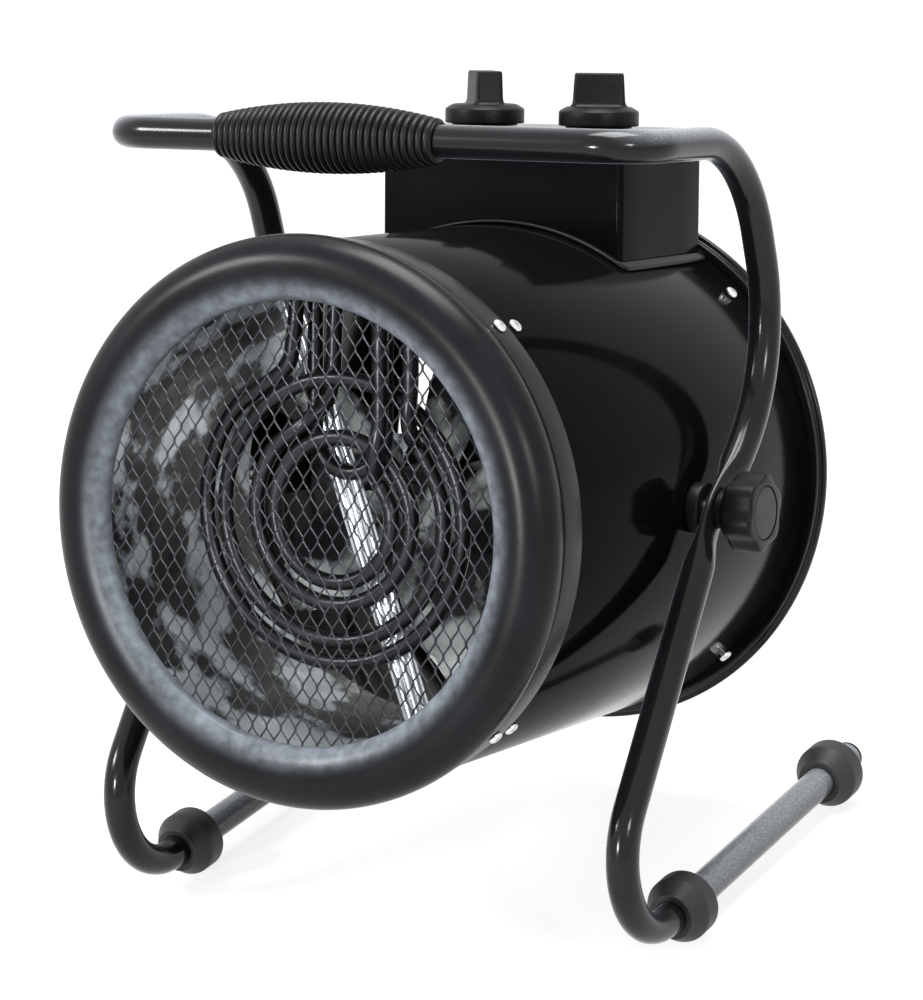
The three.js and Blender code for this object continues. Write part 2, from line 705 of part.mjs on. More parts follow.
// Two straight legs with a half turn between them, in the plane behind the spirals.
function hairpinStations({ legs, planes }) {
  const y = COIL_PLANE + planes[0] * LEG_OFFSET;
  const bend = arc([0, HAIRPIN_RISE], [HAIRPIN_R, HAIRPIN_R], 180, 0, LOOP_STEPS / 3);
  const [start, end] = legs.map((x) => [x, legTop(x)]);
  return [start, ...bend, end].map(([x, z]) => new THREE.Vector3(x, y, z));
}

// Least distance between a rod's own surfaces, leaving out its near neighbours along the rod.
function leastGap(stations) {
  let least = Infinity;
  const along = stations.map((_, i) =>
    i === 0 ? 0 : stations[i].distanceTo(stations[i - 1]));
  along.forEach((step, i) => (along[i] = step + (along[i - 1] ?? 0)));
  stations.forEach((a, i) => stations.slice(i + 1).forEach((b, k) => {
    if (along[i + 1 + k] - along[i] < 6 * ROD_R) return;
    least = Math.min(least, a.distanceTo(b) - 2 * ROD_R);
  }));
  return least;
}

for (const element of ELEMENTS) {
  const stations = element === HAIRPIN ? hairpinStations(element) : spiralStations(element);
  console.log(element.name + " least gap to itself " + leastGap(stations).toFixed(2) + " mm");
  piece(drum, element.name, sweep(stations, outline(circlePoints(ROD_R, ROD_SIDES))), sheath);
}

// ---- Strip, cut-out, fan and motor ----

// Ribbed strip across the duct behind the elements, with a tab on the duct wall at each end.
function elementStrip() {
  const half = STRIP_WIDE / 2;
  const rib = STRIP_WIDE / 7;
  const section = [[-half, 0], [half, 0], [half, STRIP_THICK]];
  for (const x of [2 * rib, 0, -2 * rib])
    section.push([x + rib, STRIP_THICK], [x + rib / 2, STRIP_THICK + STRIP_RIB],
      [x - rib / 2, STRIP_THICK + STRIP_RIB], [x - rib, STRIP_THICK]);
  section.push([-half, STRIP_THICK]);
  const bore = stripReach;
  const strip = slab(outline(section), 2 * bore).translate(0, 0, -bore).rotateZ(Math.PI);
  const tab = () => block(STRIP_WIDE, STRIP_TAB, STRIP_THICK + 2);
  const tabs = [1, -1].map((end) => tab().translate(0, STRIP_TAB / 2 - STRIP_THICK, end * (bore - 1.6)));
  const whole = join(strip, ...tabs);
  const window = plug(bore, -STRIP_TAB * 2, STRIP_TAB * 2, TURN_STEPS);
  return common(whole, window).rotateY(STRIP_LEAN * DEG).translate(0, stripBack, 0);
}

function thermalCutout() {
  const disc = turned([
    [0, GAP], [CUTOUT_R, GAP], [CUTOUT_R, CUTOUT_TALL - 2], [CUTOUT_R - 3, CUTOUT_TALL], [0, CUTOUT_TALL],
  ], 14);
  return disc.translate(0, 0, -CUTOUT_ALONG).rotateY(STRIP_LEAN * DEG).translate(0, stripBack, 0);
}

// Hub with pitched blades, bored for the motor shaft.
function fanBlade() {
  const root = FAN_HUB_R - 4;
  const blades = Array.from({ length: FAN_BLADES }, (_, k) => {
    const tip = circlePoints(fanR, 36).filter(([x, y]) => x > 0 && Math.abs(y) < 32);
    tip.sort((a, b) => a[1] - b[1]);
    const shape = outline([[root, 9], [root, -9], [fanR * 0.6, -30], ...tip, [fanR * 0.6, 30]]);
    return slab(shape, BLADE_THICK)
      .translate(0, 0, -BLADE_THICK / 2)
      .rotateX(Math.PI / 2 - FAN_PITCH * DEG)
      .rotateY((k * 2 * Math.PI) / FAN_BLADES);
  });
  const hub = plug(FAN_HUB_R, -FAN_HUB_LONG / 2, FAN_HUB_LONG / 2);
  const bore = plug(SHAFT_R + GAP, -FAN_HUB_LONG, FAN_HUB_LONG, 12);
  return cut(join(hub, ...blades), bore).translate(0, FAN_FRONT + FAN_HUB_LONG / 2, 0);
}

const shaftSocket = 20;
function motorBody() {
  const back = MOTOR_FRONT + MOTOR_LONG;
  return turned([
    [0, MOTOR_NOSE + shaftSocket],
    [SHAFT_R + GAP, MOTOR_NOSE + shaftSocket],
    [SHAFT_R + GAP, MOTOR_NOSE],
    [12, MOTOR_NOSE],
    [12, MOTOR_FRONT],
    [MOTOR_R - 5, MOTOR_FRONT],
    [MOTOR_R, MOTOR_FRONT + 5],
    [MOTOR_R, back - 6],
    [MOTOR_R - 6, back],
    [0, back],
  ], 20);
}

// Strap behind the motor, bent back along the drum wall at both ends.
function motorBracket() {
  const back = MOTOR_FRONT + MOTOR_LONG + GAP;
  const bore = bracketReach;
  const bar = block(2 * bore, SHEET, BRACKET_WIDE).translate(0, SHEET / 2, 0);
  const tabs = [1, -1].map((end) =>
    block(6, BRACKET_TAB, BRACKET_WIDE).translate(end * (bore - 3), BRACKET_TAB / 2, 0));
  const window = plug(bore, -1, BRACKET_TAB + 1, TURN_STEPS);
  const ring = turned(ringProfile(bore - SHEET - 1, bore, 0, BRACKET_TAB), TURN_STEPS);
  const bent = tabs.map((tab) => common(tab, ring));
  return common(join(bar, ...bent), window).translate(0, back, 0);
}

piece(drum, "element_strip", elementStrip(), galvanised);
piece(drum, "thermal_cutout", thermalCutout(), zinc);
piece(drum, "fan_blade", fanBlade(), galvanised);
piece(drum, "motor_shaft", plug(SHAFT_R, FAN_FRONT + 2, MOTOR_NOSE + shaftSocket - 2, 12), zinc);
piece(drum, "motor_body", motorBody(), plastic);
piece(drum, "motor_bracket", motorBracket(), galvanised);

// ---- Control box ----

const drumCore = (r, long = 4 * BOX_LONG) => plug(r, -long / 2, long / 2, 96);

function controlBox() {
  const floor = DRUM_R / 2;
  const outer = slab(roundedRectangle(BOX_WIDE, BOX_LONG, BOX_CORNER), boxTop - floor)
    .translate(0, boxMiddle, floor);
  const inner = slab(
    roundedRectangle(BOX_WIDE - 2 * SHEET, BOX_LONG - 2 * SHEET, BOX_CORNER - SHEET),
    boxTop - SHEET - floor + 1,
  ).translate(0, boxMiddle, floor - 1);
  const spindleHoles = KNOBS.map(({ x }) =>
    alongZ(plug(SPINDLE_R + 2, boxTop - 10, boxTop + 5, 12)).translate(x, boxMiddle, 0));
  const glandHole = plug(GLAND_R + GAP, boxRear - 10, boxRear + 10, 12).translate(0, 0, boxTop - GLAND_RISE);
  return cut(outer, inner, drumCore(boxFloorR), glandHole, ...spindleHoles);
}

// Curved base plate that follows the drum, with a lip all round the box.
function boxSaddle() {
  const plate = slab(
    roundedRectangle(BOX_WIDE + 2 * SADDLE_LIP, BOX_LONG + 2 * SADDLE_LIP, BOX_CORNER + SADDLE_LIP),
    DRUM_R,
  ).translate(0, boxMiddle, DRUM_R / 2);
  const shell = cut(common(plate, drumCore(saddleOuter)), drumCore(saddleInner));
  const opening = block(BOX_WIDE / 2, BOX_LONG / 2, 2 * DRUM_R).translate(0, boxMiddle, 0);
  return cut(shell, opening);
}

function knob({ x, turned: angle }) {
  const base = alongZ(turned([
    [0, 0], [KNOB_R, 0], [KNOB_R, KNOB_RIM], [KNOB_R - 4.5, KNOB_RIM + KNOB_CHAMFER],
    [0, KNOB_RIM + KNOB_CHAMFER],
  ], 30));
  const gripTall = KNOB_TALL - KNOB_RIM;
  const grip = block(GRIP_LONG, GRIP_THICK, gripTall);
  const at = grip.attributes.position;
  for (let i = 0; i < at.count; i++)
    if (at.getZ(i) > 0) at.setXY(i, at.getX(i) * GRIP_DRAFT, at.getY(i) * GRIP_DRAFT);
  grip.translate(0, 0, KNOB_TALL - gripTall / 2).rotateZ(angle * DEG);
  const bore = alongZ(plug(SPINDLE_R + GAP, -5, SPINDLE_IN_KNOB + GAP, 12));
  return cut(join(base, grip), bore).translate(x, boxMiddle, boxTop + GAP);
}

const knobSocket = (depth) => alongZ(plug(SPINDLE_R + GAP, -depth, 5, 12));
const switchTop = boxTop - SHEET - GAP;
const bodies = {
  selector: () => block(SELECTOR_SIDE, SELECTOR_SIDE, SWITCH_TALL).translate(0, 0, -SWITCH_TALL / 2),
  thermostat: () => alongZ(plug(THERMOSTAT_R, -SWITCH_TALL, 0, 20)),
};

piece(drum, "control_box", controlBox(), glossBlack);
piece(drum, "box_saddle", boxSaddle(), satinBlack);
for (const control of KNOBS) {
  const { name, x } = control;
  const socket = knobSocket(SPINDLE_IN_SWITCH + GAP);
  const body = cut(bodies[name](), socket).translate(x, boxMiddle, switchTop);
  const from = switchTop - SPINDLE_IN_SWITCH;
  const to = boxTop + GAP + SPINDLE_IN_KNOB;
  piece(drum, name + "_body", body, plastic);
  piece(drum, name + "_knob", knob(control), plastic);
  const spindle = alongZ(plug(SPINDLE_R, from, to, 12)).translate(x, boxMiddle, 0);
  piece(drum, name + "_spindle", spindle, zinc);
}

// Cable gland in the rear wall of the box, with a shoulder outside and an open bore.
const cableGland = turned([
  [GLAND_BORE_R, -6], [GLAND_R, -6], [GLAND_R, SHEET / 2 + GAP], [GLAND_R + 3.5, SHEET / 2 + GAP],
  [GLAND_R + 3.5, 6], [GLAND_R + 1, 16], [GLAND_BORE_R, 16], [GLAND_BORE_R, -6],
], 12).translate(0, boxRear - SHEET / 2, boxTop - GLAND_RISE);
piece(drum, "cable_gland", cableGland, plastic);

// ---- Tilt pivots ----

const spacerEnd = sideX - pressedHalf - GAP;
const nutStart = drumBore - GAP * 2 - NUT_THICK;

// Lobed clamp knob: hub on the tube, flare, lobed rim with a recess for the cap, blind bore.
function clampKnob() {
  const flareEnd = CLAMP_HUB_LONG + CLAMP_FLARE;
  const core = turned([
    [0, 0], [CLAMP_HUB_R, 0], [CLAMP_HUB_R, CLAMP_HUB_LONG], [CLAMP_R - 4, flareEnd],
    [CLAMP_R - 4, flareEnd + 1], [0, flareEnd + 1],
  ], 16);
  const steps = CLAMP_LOBES * 6;
  const lobes = Array.from({ length: steps }, (_, i) => {
    const a = (i / steps) * 2 * Math.PI;
    const r = CLAMP_R - CLAMP_LOBE + CLAMP_LOBE * Math.cos(CLAMP_LOBES * a);
    return [r * Math.cos(a), r * Math.sin(a)];
  });
  const rim = slab(outline(lobes), CLAMP_THICK).rotateX(-Math.PI / 2).translate(0, flareEnd, 0);
  const total = flareEnd + CLAMP_THICK;
  const recess = plug(CAP_R + GAP, total - CAP_THICK - GAP, total + 5, 24);
  const bore = plug(STUD_R + GAP, -5, STUD_IN_CLAMP + GAP, 12);
  return cut(join(core, rim), recess, bore);
}

function hexNut() {
  const hexagon = outline(circlePoints(NUT_R, 6));
  hexagon.holes.push(outline(circlePoints(STUD_HOLE_R, 12)));
  return slab(hexagon, NUT_THICK).rotateX(-Math.PI / 2).translate(0, nutStart, 0);
}

for (const [side, word] of [[1, "right"], [-1, "left"]]) {
  const facing = (geometry) => (side > 0 ? alongX(geometry) : alongX(geometry).rotateZ(Math.PI));
  const spacer = turned(ringProfile(STUD_HOLE_R, SPACER_R, DRUM_R + GAP, spacerEnd), 20);
  const stud = plug(STUD_R, nutStart - STUD_PAST_NUT, clampStart + STUD_IN_CLAMP, 12);
  const cap = plug(CAP_R, clampFace - CAP_THICK, clampFace, 24);
  piece(drum, "pivot_spacer_" + word, facing(spacer), plastic);
  piece(drum, "pivot_nut_" + word, facing(hexNut()), zinc);
  piece(drum, "clamp_stud_" + word, facing(stud), zinc);
  piece(drum, "clamp_knob_" + word, facing(clampKnob().translate(0, clampStart, 0)), plastic);
  piece(drum, "clamp_cap_" + word, facing(cap), plastic);
}

// ---- Screws ----

function screw(seatR) {
  return turned([
    [0, seatR - SCREW_LONG], [SCREW_R, seatR - SCREW_LONG], [SCREW_R, seatR + GAP],
    [SCREW_HEAD_R, seatR + GAP], [SCREW_HEAD_R, seatR + GAP + SCREW_HEAD_TALL * 0.4],
    [SCREW_HEAD_R * 0.75, seatR + GAP + SCREW_HEAD_TALL * 0.85],
    [0, seatR + GAP + SCREW_HEAD_TALL],
  ], 8);
}

for (const [place, station] of Object.entries(screwStations))
  for (const [corner, angle] of Object.entries(SCREW_ANGLES)) {
    const seatR = place === "front_collar" ? collarOuter : DRUM_R;
    piece(drum, "screw_" + place + "_" + corner, radial(screw(seatR), station, angle), zinc);
  }

// The origin is the middle of the floor under the whole object.
heater.updateMatrixWorld(true);
const span = new THREE.Box3().setFromObject(heater, true);
heater.position.y = -(span.min.y + span.max.y) / 2;
heater.updateMatrixWorld(true);
console.log("origin moved " + heater.position.y.toFixed(3) + " mm along Y to the middle");

export default heater;
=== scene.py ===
# Round electric fan heater on a bent tube stand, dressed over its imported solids.
# The heater's own shapes are drawn level in millimetres, with the drum's axis along Y through
# the tilt pivots and the outlet towards -Y, and are then turned nose up on the pivots.
import json
import math

import bmesh
import bpy
from mathutils import Matrix, Vector


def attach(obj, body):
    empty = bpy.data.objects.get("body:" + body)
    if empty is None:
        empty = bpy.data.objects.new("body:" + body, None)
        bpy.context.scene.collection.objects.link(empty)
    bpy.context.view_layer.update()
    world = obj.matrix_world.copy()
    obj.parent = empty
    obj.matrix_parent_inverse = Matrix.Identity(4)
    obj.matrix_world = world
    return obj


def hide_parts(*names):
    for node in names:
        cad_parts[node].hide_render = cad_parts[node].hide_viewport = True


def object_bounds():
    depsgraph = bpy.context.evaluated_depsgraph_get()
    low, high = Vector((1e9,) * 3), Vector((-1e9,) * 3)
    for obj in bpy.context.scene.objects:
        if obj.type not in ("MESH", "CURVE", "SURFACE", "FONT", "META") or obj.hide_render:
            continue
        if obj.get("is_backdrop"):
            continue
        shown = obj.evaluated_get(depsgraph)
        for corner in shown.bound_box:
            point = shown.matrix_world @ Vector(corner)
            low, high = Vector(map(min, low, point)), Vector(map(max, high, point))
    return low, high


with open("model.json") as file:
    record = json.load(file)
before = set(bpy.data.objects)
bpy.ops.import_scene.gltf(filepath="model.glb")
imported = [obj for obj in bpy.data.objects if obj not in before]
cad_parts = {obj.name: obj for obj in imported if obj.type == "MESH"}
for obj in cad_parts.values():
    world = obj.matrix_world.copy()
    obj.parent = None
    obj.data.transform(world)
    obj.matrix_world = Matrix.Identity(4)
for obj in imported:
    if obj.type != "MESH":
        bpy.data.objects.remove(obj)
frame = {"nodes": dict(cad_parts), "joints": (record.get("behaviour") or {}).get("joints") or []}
cad_box = [list(corner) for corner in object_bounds()]
scene = bpy.context.scene
pivot = Vector(next(j for j in frame["joints"] if j["name"] == "drum_tilt")["pos_m"])
rest_tilt = math.radians(11.5)
in_stand = Matrix.Translation((0, pivot.y, 0)) @ Matrix.Scale(0.001, 4)
in_heater = Matrix.Translation(pivot) @ Matrix.Rotation(-rest_tilt, 4, "X") @ Matrix.Scale(0.001, 4)

# ---- Camera, floor and lamps ----
# The camera stands where the photograph's did: outlet side, a little above the heater,
# to the right of its axis. White floor and backdrop, with soft lamps at a plain level.
scene.view_settings.view_transform = "Standard"
aim = Vector((-0.0802, 0.1436, 0.1471))
side, lift, lean, distance = 0.5284, 0.3063, -0.0935, 2.1964
back = Vector((math.sin(side) * math.cos(lift), -math.cos(side) * math.cos(lift), math.sin(lift)))
across = (-back).cross(Vector((0, 0, 1))).normalized()
upward = across.cross(-back)
lens = bpy.data.cameras.new("photo_camera")
lens.sensor_width = 36
lens.lens = 141.14
lens.clip_end = 50
camera = bpy.data.objects.new("photo_camera", lens)
scene.collection.objects.link(camera)
turned_across = across * math.cos(lean) + upward * math.sin(lean)
turned_upward = upward * math.cos(lean) - across * math.sin(lean)
camera.matrix_world = Matrix.Translation(aim + back * distance) @ Matrix(
    (turned_across, turned_upward, back)
).transposed().to_4x4()
scene.camera = camera


def node(tree, kind, inputs=None, **settings):
    """One node with its settings. Each input is linked to a socket, or set to a plain value."""
    made = tree.nodes.new(kind)
    for key, value in settings.items():
        setattr(made, key, value)
    for label, value in (inputs or {}).items():
        if isinstance(value, bpy.types.NodeSocket):
            tree.links.new(value, made.inputs[label])
        else:
            made.inputs[label].default_value = value
    return made


def calc(tree, operation, a, b=None):
    """One Math node on one or two numbers or sockets."""
    values = {0: a} if b is None else {0: a, 1: b}
    return node(tree, "ShaderNodeMath", values, operation=operation).outputs[0]


def seen_ray(tree):
    """1 for rays from the camera and for mirror and glass rays, 0 for the rest."""
    rays = node(tree, "ShaderNodeLightPath").outputs
    camera_or_mirror = calc(tree, "MAXIMUM", rays["Is Camera Ray"], rays["Is Glossy Ray"])
    return calc(tree, "MAXIMUM", camera_or_mirror, rays["Is Transmission Ray"])


world = bpy.data.worlds.new("white_room")
scene.world = world
world.use_nodes = True
sky = world.node_tree
strength = node(sky, "ShaderNodeMapRange", {"Value": seen_ray(sky), "To Min": 0.4, "To Max": 1.0})
sky.nodes["Background"].inputs["Color"].default_value = (1, 1, 1, 1)
sky.links.new(strength.outputs["Result"], sky.nodes["Background"].inputs["Strength"])

floor_mesh = bpy.data.meshes.new("floor")
floor_mesh.from_pydata([(-8, -8, 0), (8, -8, 0), (8, 8, 0), (-8, 8, 0)], [], [(0, 1, 2, 3)])
floor = bpy.data.objects.new("floor", floor_mesh)
scene.collection.objects.link(floor)
paper = bpy.data.materials.new("white_paper")
paper.use_nodes = True
sheet = paper.node_tree
sheet.nodes.clear()
shaded = node(sheet, "ShaderNodeBsdfDiffuse", {"Color": (0.3, 0.3, 0.3, 1)})
bright = node(
    sheet, "ShaderNodeEmission", {"Color": (0.82, 0.82, 0.82, 1), "Strength": seen_ray(sheet)}
)
both = node(sheet, "ShaderNodeAddShader", {0: shaded.outputs[0], 1: bright.outputs[0]})
node(sheet, "ShaderNodeOutputMaterial", {"Surface": both.outputs[0]})
floor_mesh.materials.append(paper)
floor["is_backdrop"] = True

for name, place, size, watts in (
    ("lamp_left", (-1.5, -1.5, 1.5), 0.5, 36),
    ("lamp_right", (1.9, -1.3, 1.2), 0.35, 14),
    ("lamp_top", (0.1, 0.3, 2.2), 1.2, 65),
    ("lamp_front", (-0.3, -2.4, 0.7), 0.3, 30),
):
    panel = bpy.data.lights.new(name, "AREA")
    panel.size = size
    panel.energy = watts
    lamp = bpy.data.objects.new(name, panel)
    lamp.location = place
    lamp.rotation_euler = (Vector(place) - Vector((0, 0, 0.2))).to_track_quat("Z", "Y").to_euler()
    scene.collection.objects.link(lamp)

# ---- Stand tube ----
# One round steel tube, powder coated gloss black, bent into two side frames and the
# crossbar between them, and pressed flat where the pivot studs pass through it.
tube_r, side_x, skid_end = 8.2, 146.0, 138.0
pivot_z, foot_r, bar_y, bar_z, bar_flare = 204.0, 17.2, -60.13, 403.155, 5.0


def finish(name, colour, roughness, metallic=0.0, drift=0.25, cloud=14.0, grain=1100.0, relief=0.05,
           ior=1.45, ramp=(0.3, 0.7)):
    """A surface whose colour and roughness drift slowly, with a fine grain in its relief."""
    made = bpy.data.materials.new(name)
    made.use_nodes = True
    tree = made.node_tree
    shader = tree.nodes["Principled BSDF"].inputs
    shader["Metallic"].default_value = metallic
    shader["IOR"].default_value = ior
    spot = node(tree, "ShaderNodeTexCoord").outputs["Object"]
    patches = node(tree, "ShaderNodeTexNoise", {"Vector": spot, "Scale": cloud, "Detail": 5})
    tone = node(tree, "ShaderNodeValToRGB", {"Fac": patches.outputs["Fac"]})
    for stop, place, change in zip(tone.color_ramp.elements, ramp, (-drift, drift)):
        stop.position = place
        stop.color = [min(1, c * (1 + change)) for c in colour] + [1]
    rough = node(tree, "ShaderNodeMapRange", {
        "Value": patches.outputs["Fac"], "From Min": 0.3, "From Max": 0.7,
        "To Min": roughness * 0.85, "To Max": min(1, roughness * 1.2),
    })
    peel = node(tree, "ShaderNodeTexNoise", {"Vector": spot, "Scale": grain, "Detail": 2})
    bump = node(
        tree, "ShaderNodeBump", {"Height": peel.outputs["Fac"], "Strength": relief, "Distance": 0.001}
    )
    tree.links.new(tone.outputs["Color"], shader["Base Color"])
    tree.links.new(rough.outputs["Result"], shader["Roughness"])
    tree.links.new(bump.outputs["Normal"], shader["Normal"])
    return made


def found(tree, kind):
    """The one node of a kind in a material that finish has made."""
    return next(n for n in tree.nodes if n.type == kind)


def overlaid(material, colour, amount):
    """Lays a second colour over the material's own, by an amount from 0 to 1."""
    tree = material.node_tree
    own = found(tree, "VALTORGB").outputs["Color"]
    mixed = node(tree, "ShaderNodeMix", {"Factor": amount, "A": own, "B": colour}, data_type="RGBA")
    tree.links.new(mixed.outputs["Result"], tree.nodes["Principled BSDF"].inputs["Base Color"])


def bent_route(corners, step):
    """Points along a run of corners, each rounded to its own radius, with even steps between."""
    route = [corners[0][0]]
    for (before, _), (here, radius), (after, _) in zip(corners, corners[1:], corners[2:]):
        inward, onward = (before - here).normalized(), (after - here).normalized()
        turn = math.pi - inward.angle(onward)
        centre = here + (inward + onward).normalized() * radius / math.cos(turn / 2)
        start = here + inward * radius * math.tan(turn / 2) - centre
        axis = inward.cross(onward).normalized()
        count = max(6, round(turn * radius / step))
        turns = [Matrix.Rotation(-turn * k / count, 3, axis) for k in range(count + 1)]
        route += [centre + turned @ start for turned in turns]
    route.append(corners[-1][0])
    even = [route[0]]
    for a, b in zip(route, route[1:]):
        count = max(1, round((b - a).length / step))
        even += [a.lerp(b, k / count) for k in range(1, count + 1)]
    return even


def closed(shape, rings, round_about=False):
    """Joins rings of equal count into a closed shape, capped at the ends or joined round."""
    for a, b in zip(rings, rings[1:] + (rings[:1] if round_about else [])):
        for k in range(len(a)):
            m = (k + 1) % len(a)
            shape.faces.new((a[k], a[m], b[m], b[k]))
    if not round_about:
        shape.faces.new(rings[0][::-1])
        shape.faces.new(rings[-1])
    bmesh.ops.recalc_face_normals(shape, faces=shape.faces)
    return shape


def swept(route, radius, sides):
    """A closed round rod or tube along a route."""
    shape = bmesh.new()
    rings, normal = [], None
    for i, at in enumerate(route):
        ahead = (route[min(i + 1, len(route) - 1)] - route[max(i - 1, 0)]).normalized()
        normal = ahead.orthogonal() if normal is None else normal - ahead * normal.dot(ahead)
        normal.normalize()
        second = ahead.cross(normal)
        ring = []
        for k in range(sides):
            a = 2 * math.pi * k / sides
            ring.append(shape.verts.new(at + (normal * math.cos(a) + second * math.sin(a)) * radius))
        rings.append(ring)
    return closed(shape, rings)


def piece_of(name, shape, place, material, sharp=35):
    """A finished piece at the origin, with its place in its mesh."""
    mesh = bpy.data.meshes.new(name)
    shape.to_mesh(mesh)
    shape.free()
    mesh.transform(place)
    mesh.shade_smooth()
    mesh.set_sharp_from_angle(angle=math.radians(sharp))
    mesh.materials.append(material)
    made = bpy.data.objects.new(name, mesh)
    scene.collection.objects.link(made)
    return made


def side_frame(side):
    """Corners of one side frame with their bend radii, from the rear foot to the crossbar."""
    x = side * side_x
    return [
        (Vector((x, skid_end, foot_r)), 0),
        (Vector((x, foot_r - pivot_z, foot_r)), 41.5),
        (Vector((x, 0, pivot_z)), 60),
        (Vector((x, 84.1, pivot_z + 48.8)), 90),
        (Vector((x, 62.1, pivot_z + 173.3)), 75),
        (Vector((x + side * bar_flare, bar_y, bar_z)), 25),
    ]


def press_at_pivots(shape):
    """Presses the tube flat about both pivots, fading out along it, and lets it spread aside."""
    pressed_half, fade, flattened, spread_by = 12, 22, 0.55, 0.16
    for vert in shape.verts:
        end = math.copysign(side_x, vert.co.x)
        offset = Vector((vert.co.y, vert.co.z - pivot_z))
        out = min(1, max(0, (offset.length - pressed_half) / fade))
        share = 1 - out * out * (3 - 2 * out)
        if abs(vert.co.x - end) > 2 * tube_r or share == 0:
            continue
        spread = (offset.y - offset.x) / math.sqrt(2) * spread_by * share
        vert.co.x = end + (vert.co.x - end) * (1 - flattened * share)
        vert.co.y -= spread / math.sqrt(2)
        vert.co.z += spread / math.sqrt(2)


# The coat turns to a speckled light grey low on the skids and on the upper side of the
# top bends, by height, place along the heater and the way the surface faces. This grey is a
# painted reflection of the lamps and the white room, laid into the colour.
black_coat = finish("black_powder_coat", (0.006, 0.0063, 0.0072), 0.2, relief=0.06, ior=1.16)
coat = black_coat.node_tree
for label, value in (
    ("Coat Weight", 0.4), ("Coat Roughness", 0.14), ("Sheen Weight", 0.3), ("Sheen Roughness", 0.28),
    ("Sheen Tint", (0.8, 0.88, 1, 1)),
):
    coat.nodes["Principled BSDF"].inputs[label].default_value = value
coat_place = found(coat, "TEX_COORD").outputs
coat_spot = node(coat, "ShaderNodeSeparateXYZ", {0: coat_place["Object"]}).outputs
coat_face = node(coat, "ShaderNodeSeparateXYZ", {0: coat_place["Normal"]}).outputs
# Painted reflection: each zone below marks where the tubes are given a light grey reflection.
painted_reflection_zones = []
for limits in (
    ((coat_spot["Z"], 0.04, 0.03), (coat_spot["Y"], -0.062, -0.05), (coat_face["Z"], -0.9, 0.6)),
    ((coat_spot["Z"], 0.34, 0.36), (coat_spot["Y"], -0.06, -0.04), (coat_face["Z"], 0.1, 0.9)),
):
    product = 1.0
    for source, start, stop in limits:
        fade = node(
            coat, "ShaderNodeMapRange", {"Value": source, "From Min": start, "From Max": stop}
        )
        product = calc(coat, "MULTIPLY", fade.outputs["Result"], product)
    painted_reflection_zones.append(product)
speckle = node(
    coat, "ShaderNodeTexNoise", {"Vector": coat_place["Object"], "Scale": 900, "Detail": 3}
)
# Painted reflection: the zones, speckled, lay a light bluish grey over the black coat.
painted_reflection = calc(coat, "MULTIPLY", calc(coat, "ADD", *painted_reflection_zones), speckle.outputs["Fac"])
overlaid(black_coat, (0.44, 0.47, 0.51, 1), painted_reflection)
tube = swept(bent_route(side_frame(1) + side_frame(-1)[::-1], 4), tube_r, 28)
press_at_pivots(tube)
stand_tube = piece_of("bent_stand_tube", tube, in_stand, black_coat)
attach(stand_tube, "stand")
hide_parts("stand_tube")

# ---- Carrying grip ----
# Moulded rubber sleeve on the crossbar, thick in the middle, with a rounded rib every
# 3.76 mm. One rib is drawn, and the tree sets it along the bar at the size of each place.
grip_long, grip_ribs, grip_mid, grip_end, grip_x = 124.0, 33, 17.7, 11.0, -20.0


def turned_shape(profile, steps=128):
    """A closed shape turned round the Y axis from [radius, station] points."""
    shape = bmesh.new()
    rings = []
    for r, y in profile:
        count = steps if r > 1e-6 else 1
        turn = 2 * math.pi / steps
        places = [(r * math.cos(k * turn), y, r * math.sin(k * turn)) for k in range(count)]
        rings.append([shape.verts.new(p) for p in places])
    for a, b in zip(rings, rings[1:] + rings[:1]):
        for k in range(steps):
            corners = [a[k % len(a)], a[(k + 1) % len(a)], b[(k + 1) % len(b)], b[k % len(b)]]
            corners = [v for i, v in enumerate(corners) if v not in corners[:i]]
            if len(corners) > 2:
                shape.faces.new(corners)
    bmesh.ops.recalc_face_normals(shape, faces=shape.faces)
    return shape


def eased(points, radius, steps=3):
    """An outline with its corners rounded. A point's third number is its own radius."""
    smooth = []
    for i, point in enumerate(points):
        here = Vector(point[:2])
        before, after = Vector(points[i - 1][:2]), Vector(points[(i + 1) % len(points)][:2])
        own = point[2] if len(point) > 2 else radius
        if own == 0 or here.x < 1e-6:
            smooth.append(tuple(here))
            continue
        start = here + (before - here).normalized() * min(own, (before - here).length * 0.45)
        end = here + (after - here).normalized() * min(own, (after - here).length * 0.45)
        for k in range(steps + 1):
            t = k / steps
            smooth.append(tuple(start * (1 - t) ** 2 + here * 2 * t * (1 - t) + end * t * t))
    return smooth


def node_tree(name, inputs):
    """An empty Geometry Nodes tree with a mesh input and named inputs for its sizes."""
    tree = bpy.data.node_groups.new(name, "GeometryNodeTree")
    tree.interface.new_socket("Geometry", in_out="INPUT", socket_type="NodeSocketGeometry")
    for label, kind in inputs:
        tree.interface.new_socket(label, in_out="INPUT", socket_type="NodeSocket" + kind)
    tree.interface.new_socket("Geometry", in_out="OUTPUT", socket_type="NodeSocketGeometry")
    return tree, node(tree, "NodeGroupInput").outputs, node(tree, "NodeGroupOutput")


def end_tree(tree, given, out, geometry):
    """Realize Instances and Set Material close every tree."""
    real = node(tree, "GeometryNodeRealizeInstances", {"Geometry": geometry})
    smooth = node(tree, "GeometryNodeSetShadeSmooth", {"Geometry": real.outputs[0]})
    coated = node(
        tree, "GeometryNodeSetMaterial", {"Geometry": smooth.outputs[0], "Material": given["Material"]}
    )
    tree.links.new(coated.outputs[0], out.inputs["Geometry"])


def combined(tree, x=0, y=0, z=0):
    """One vector from three numbers or sockets."""
    return node(tree, "ShaderNodeCombineXYZ", {0: x, 1: y, 2: z}).outputs[0]


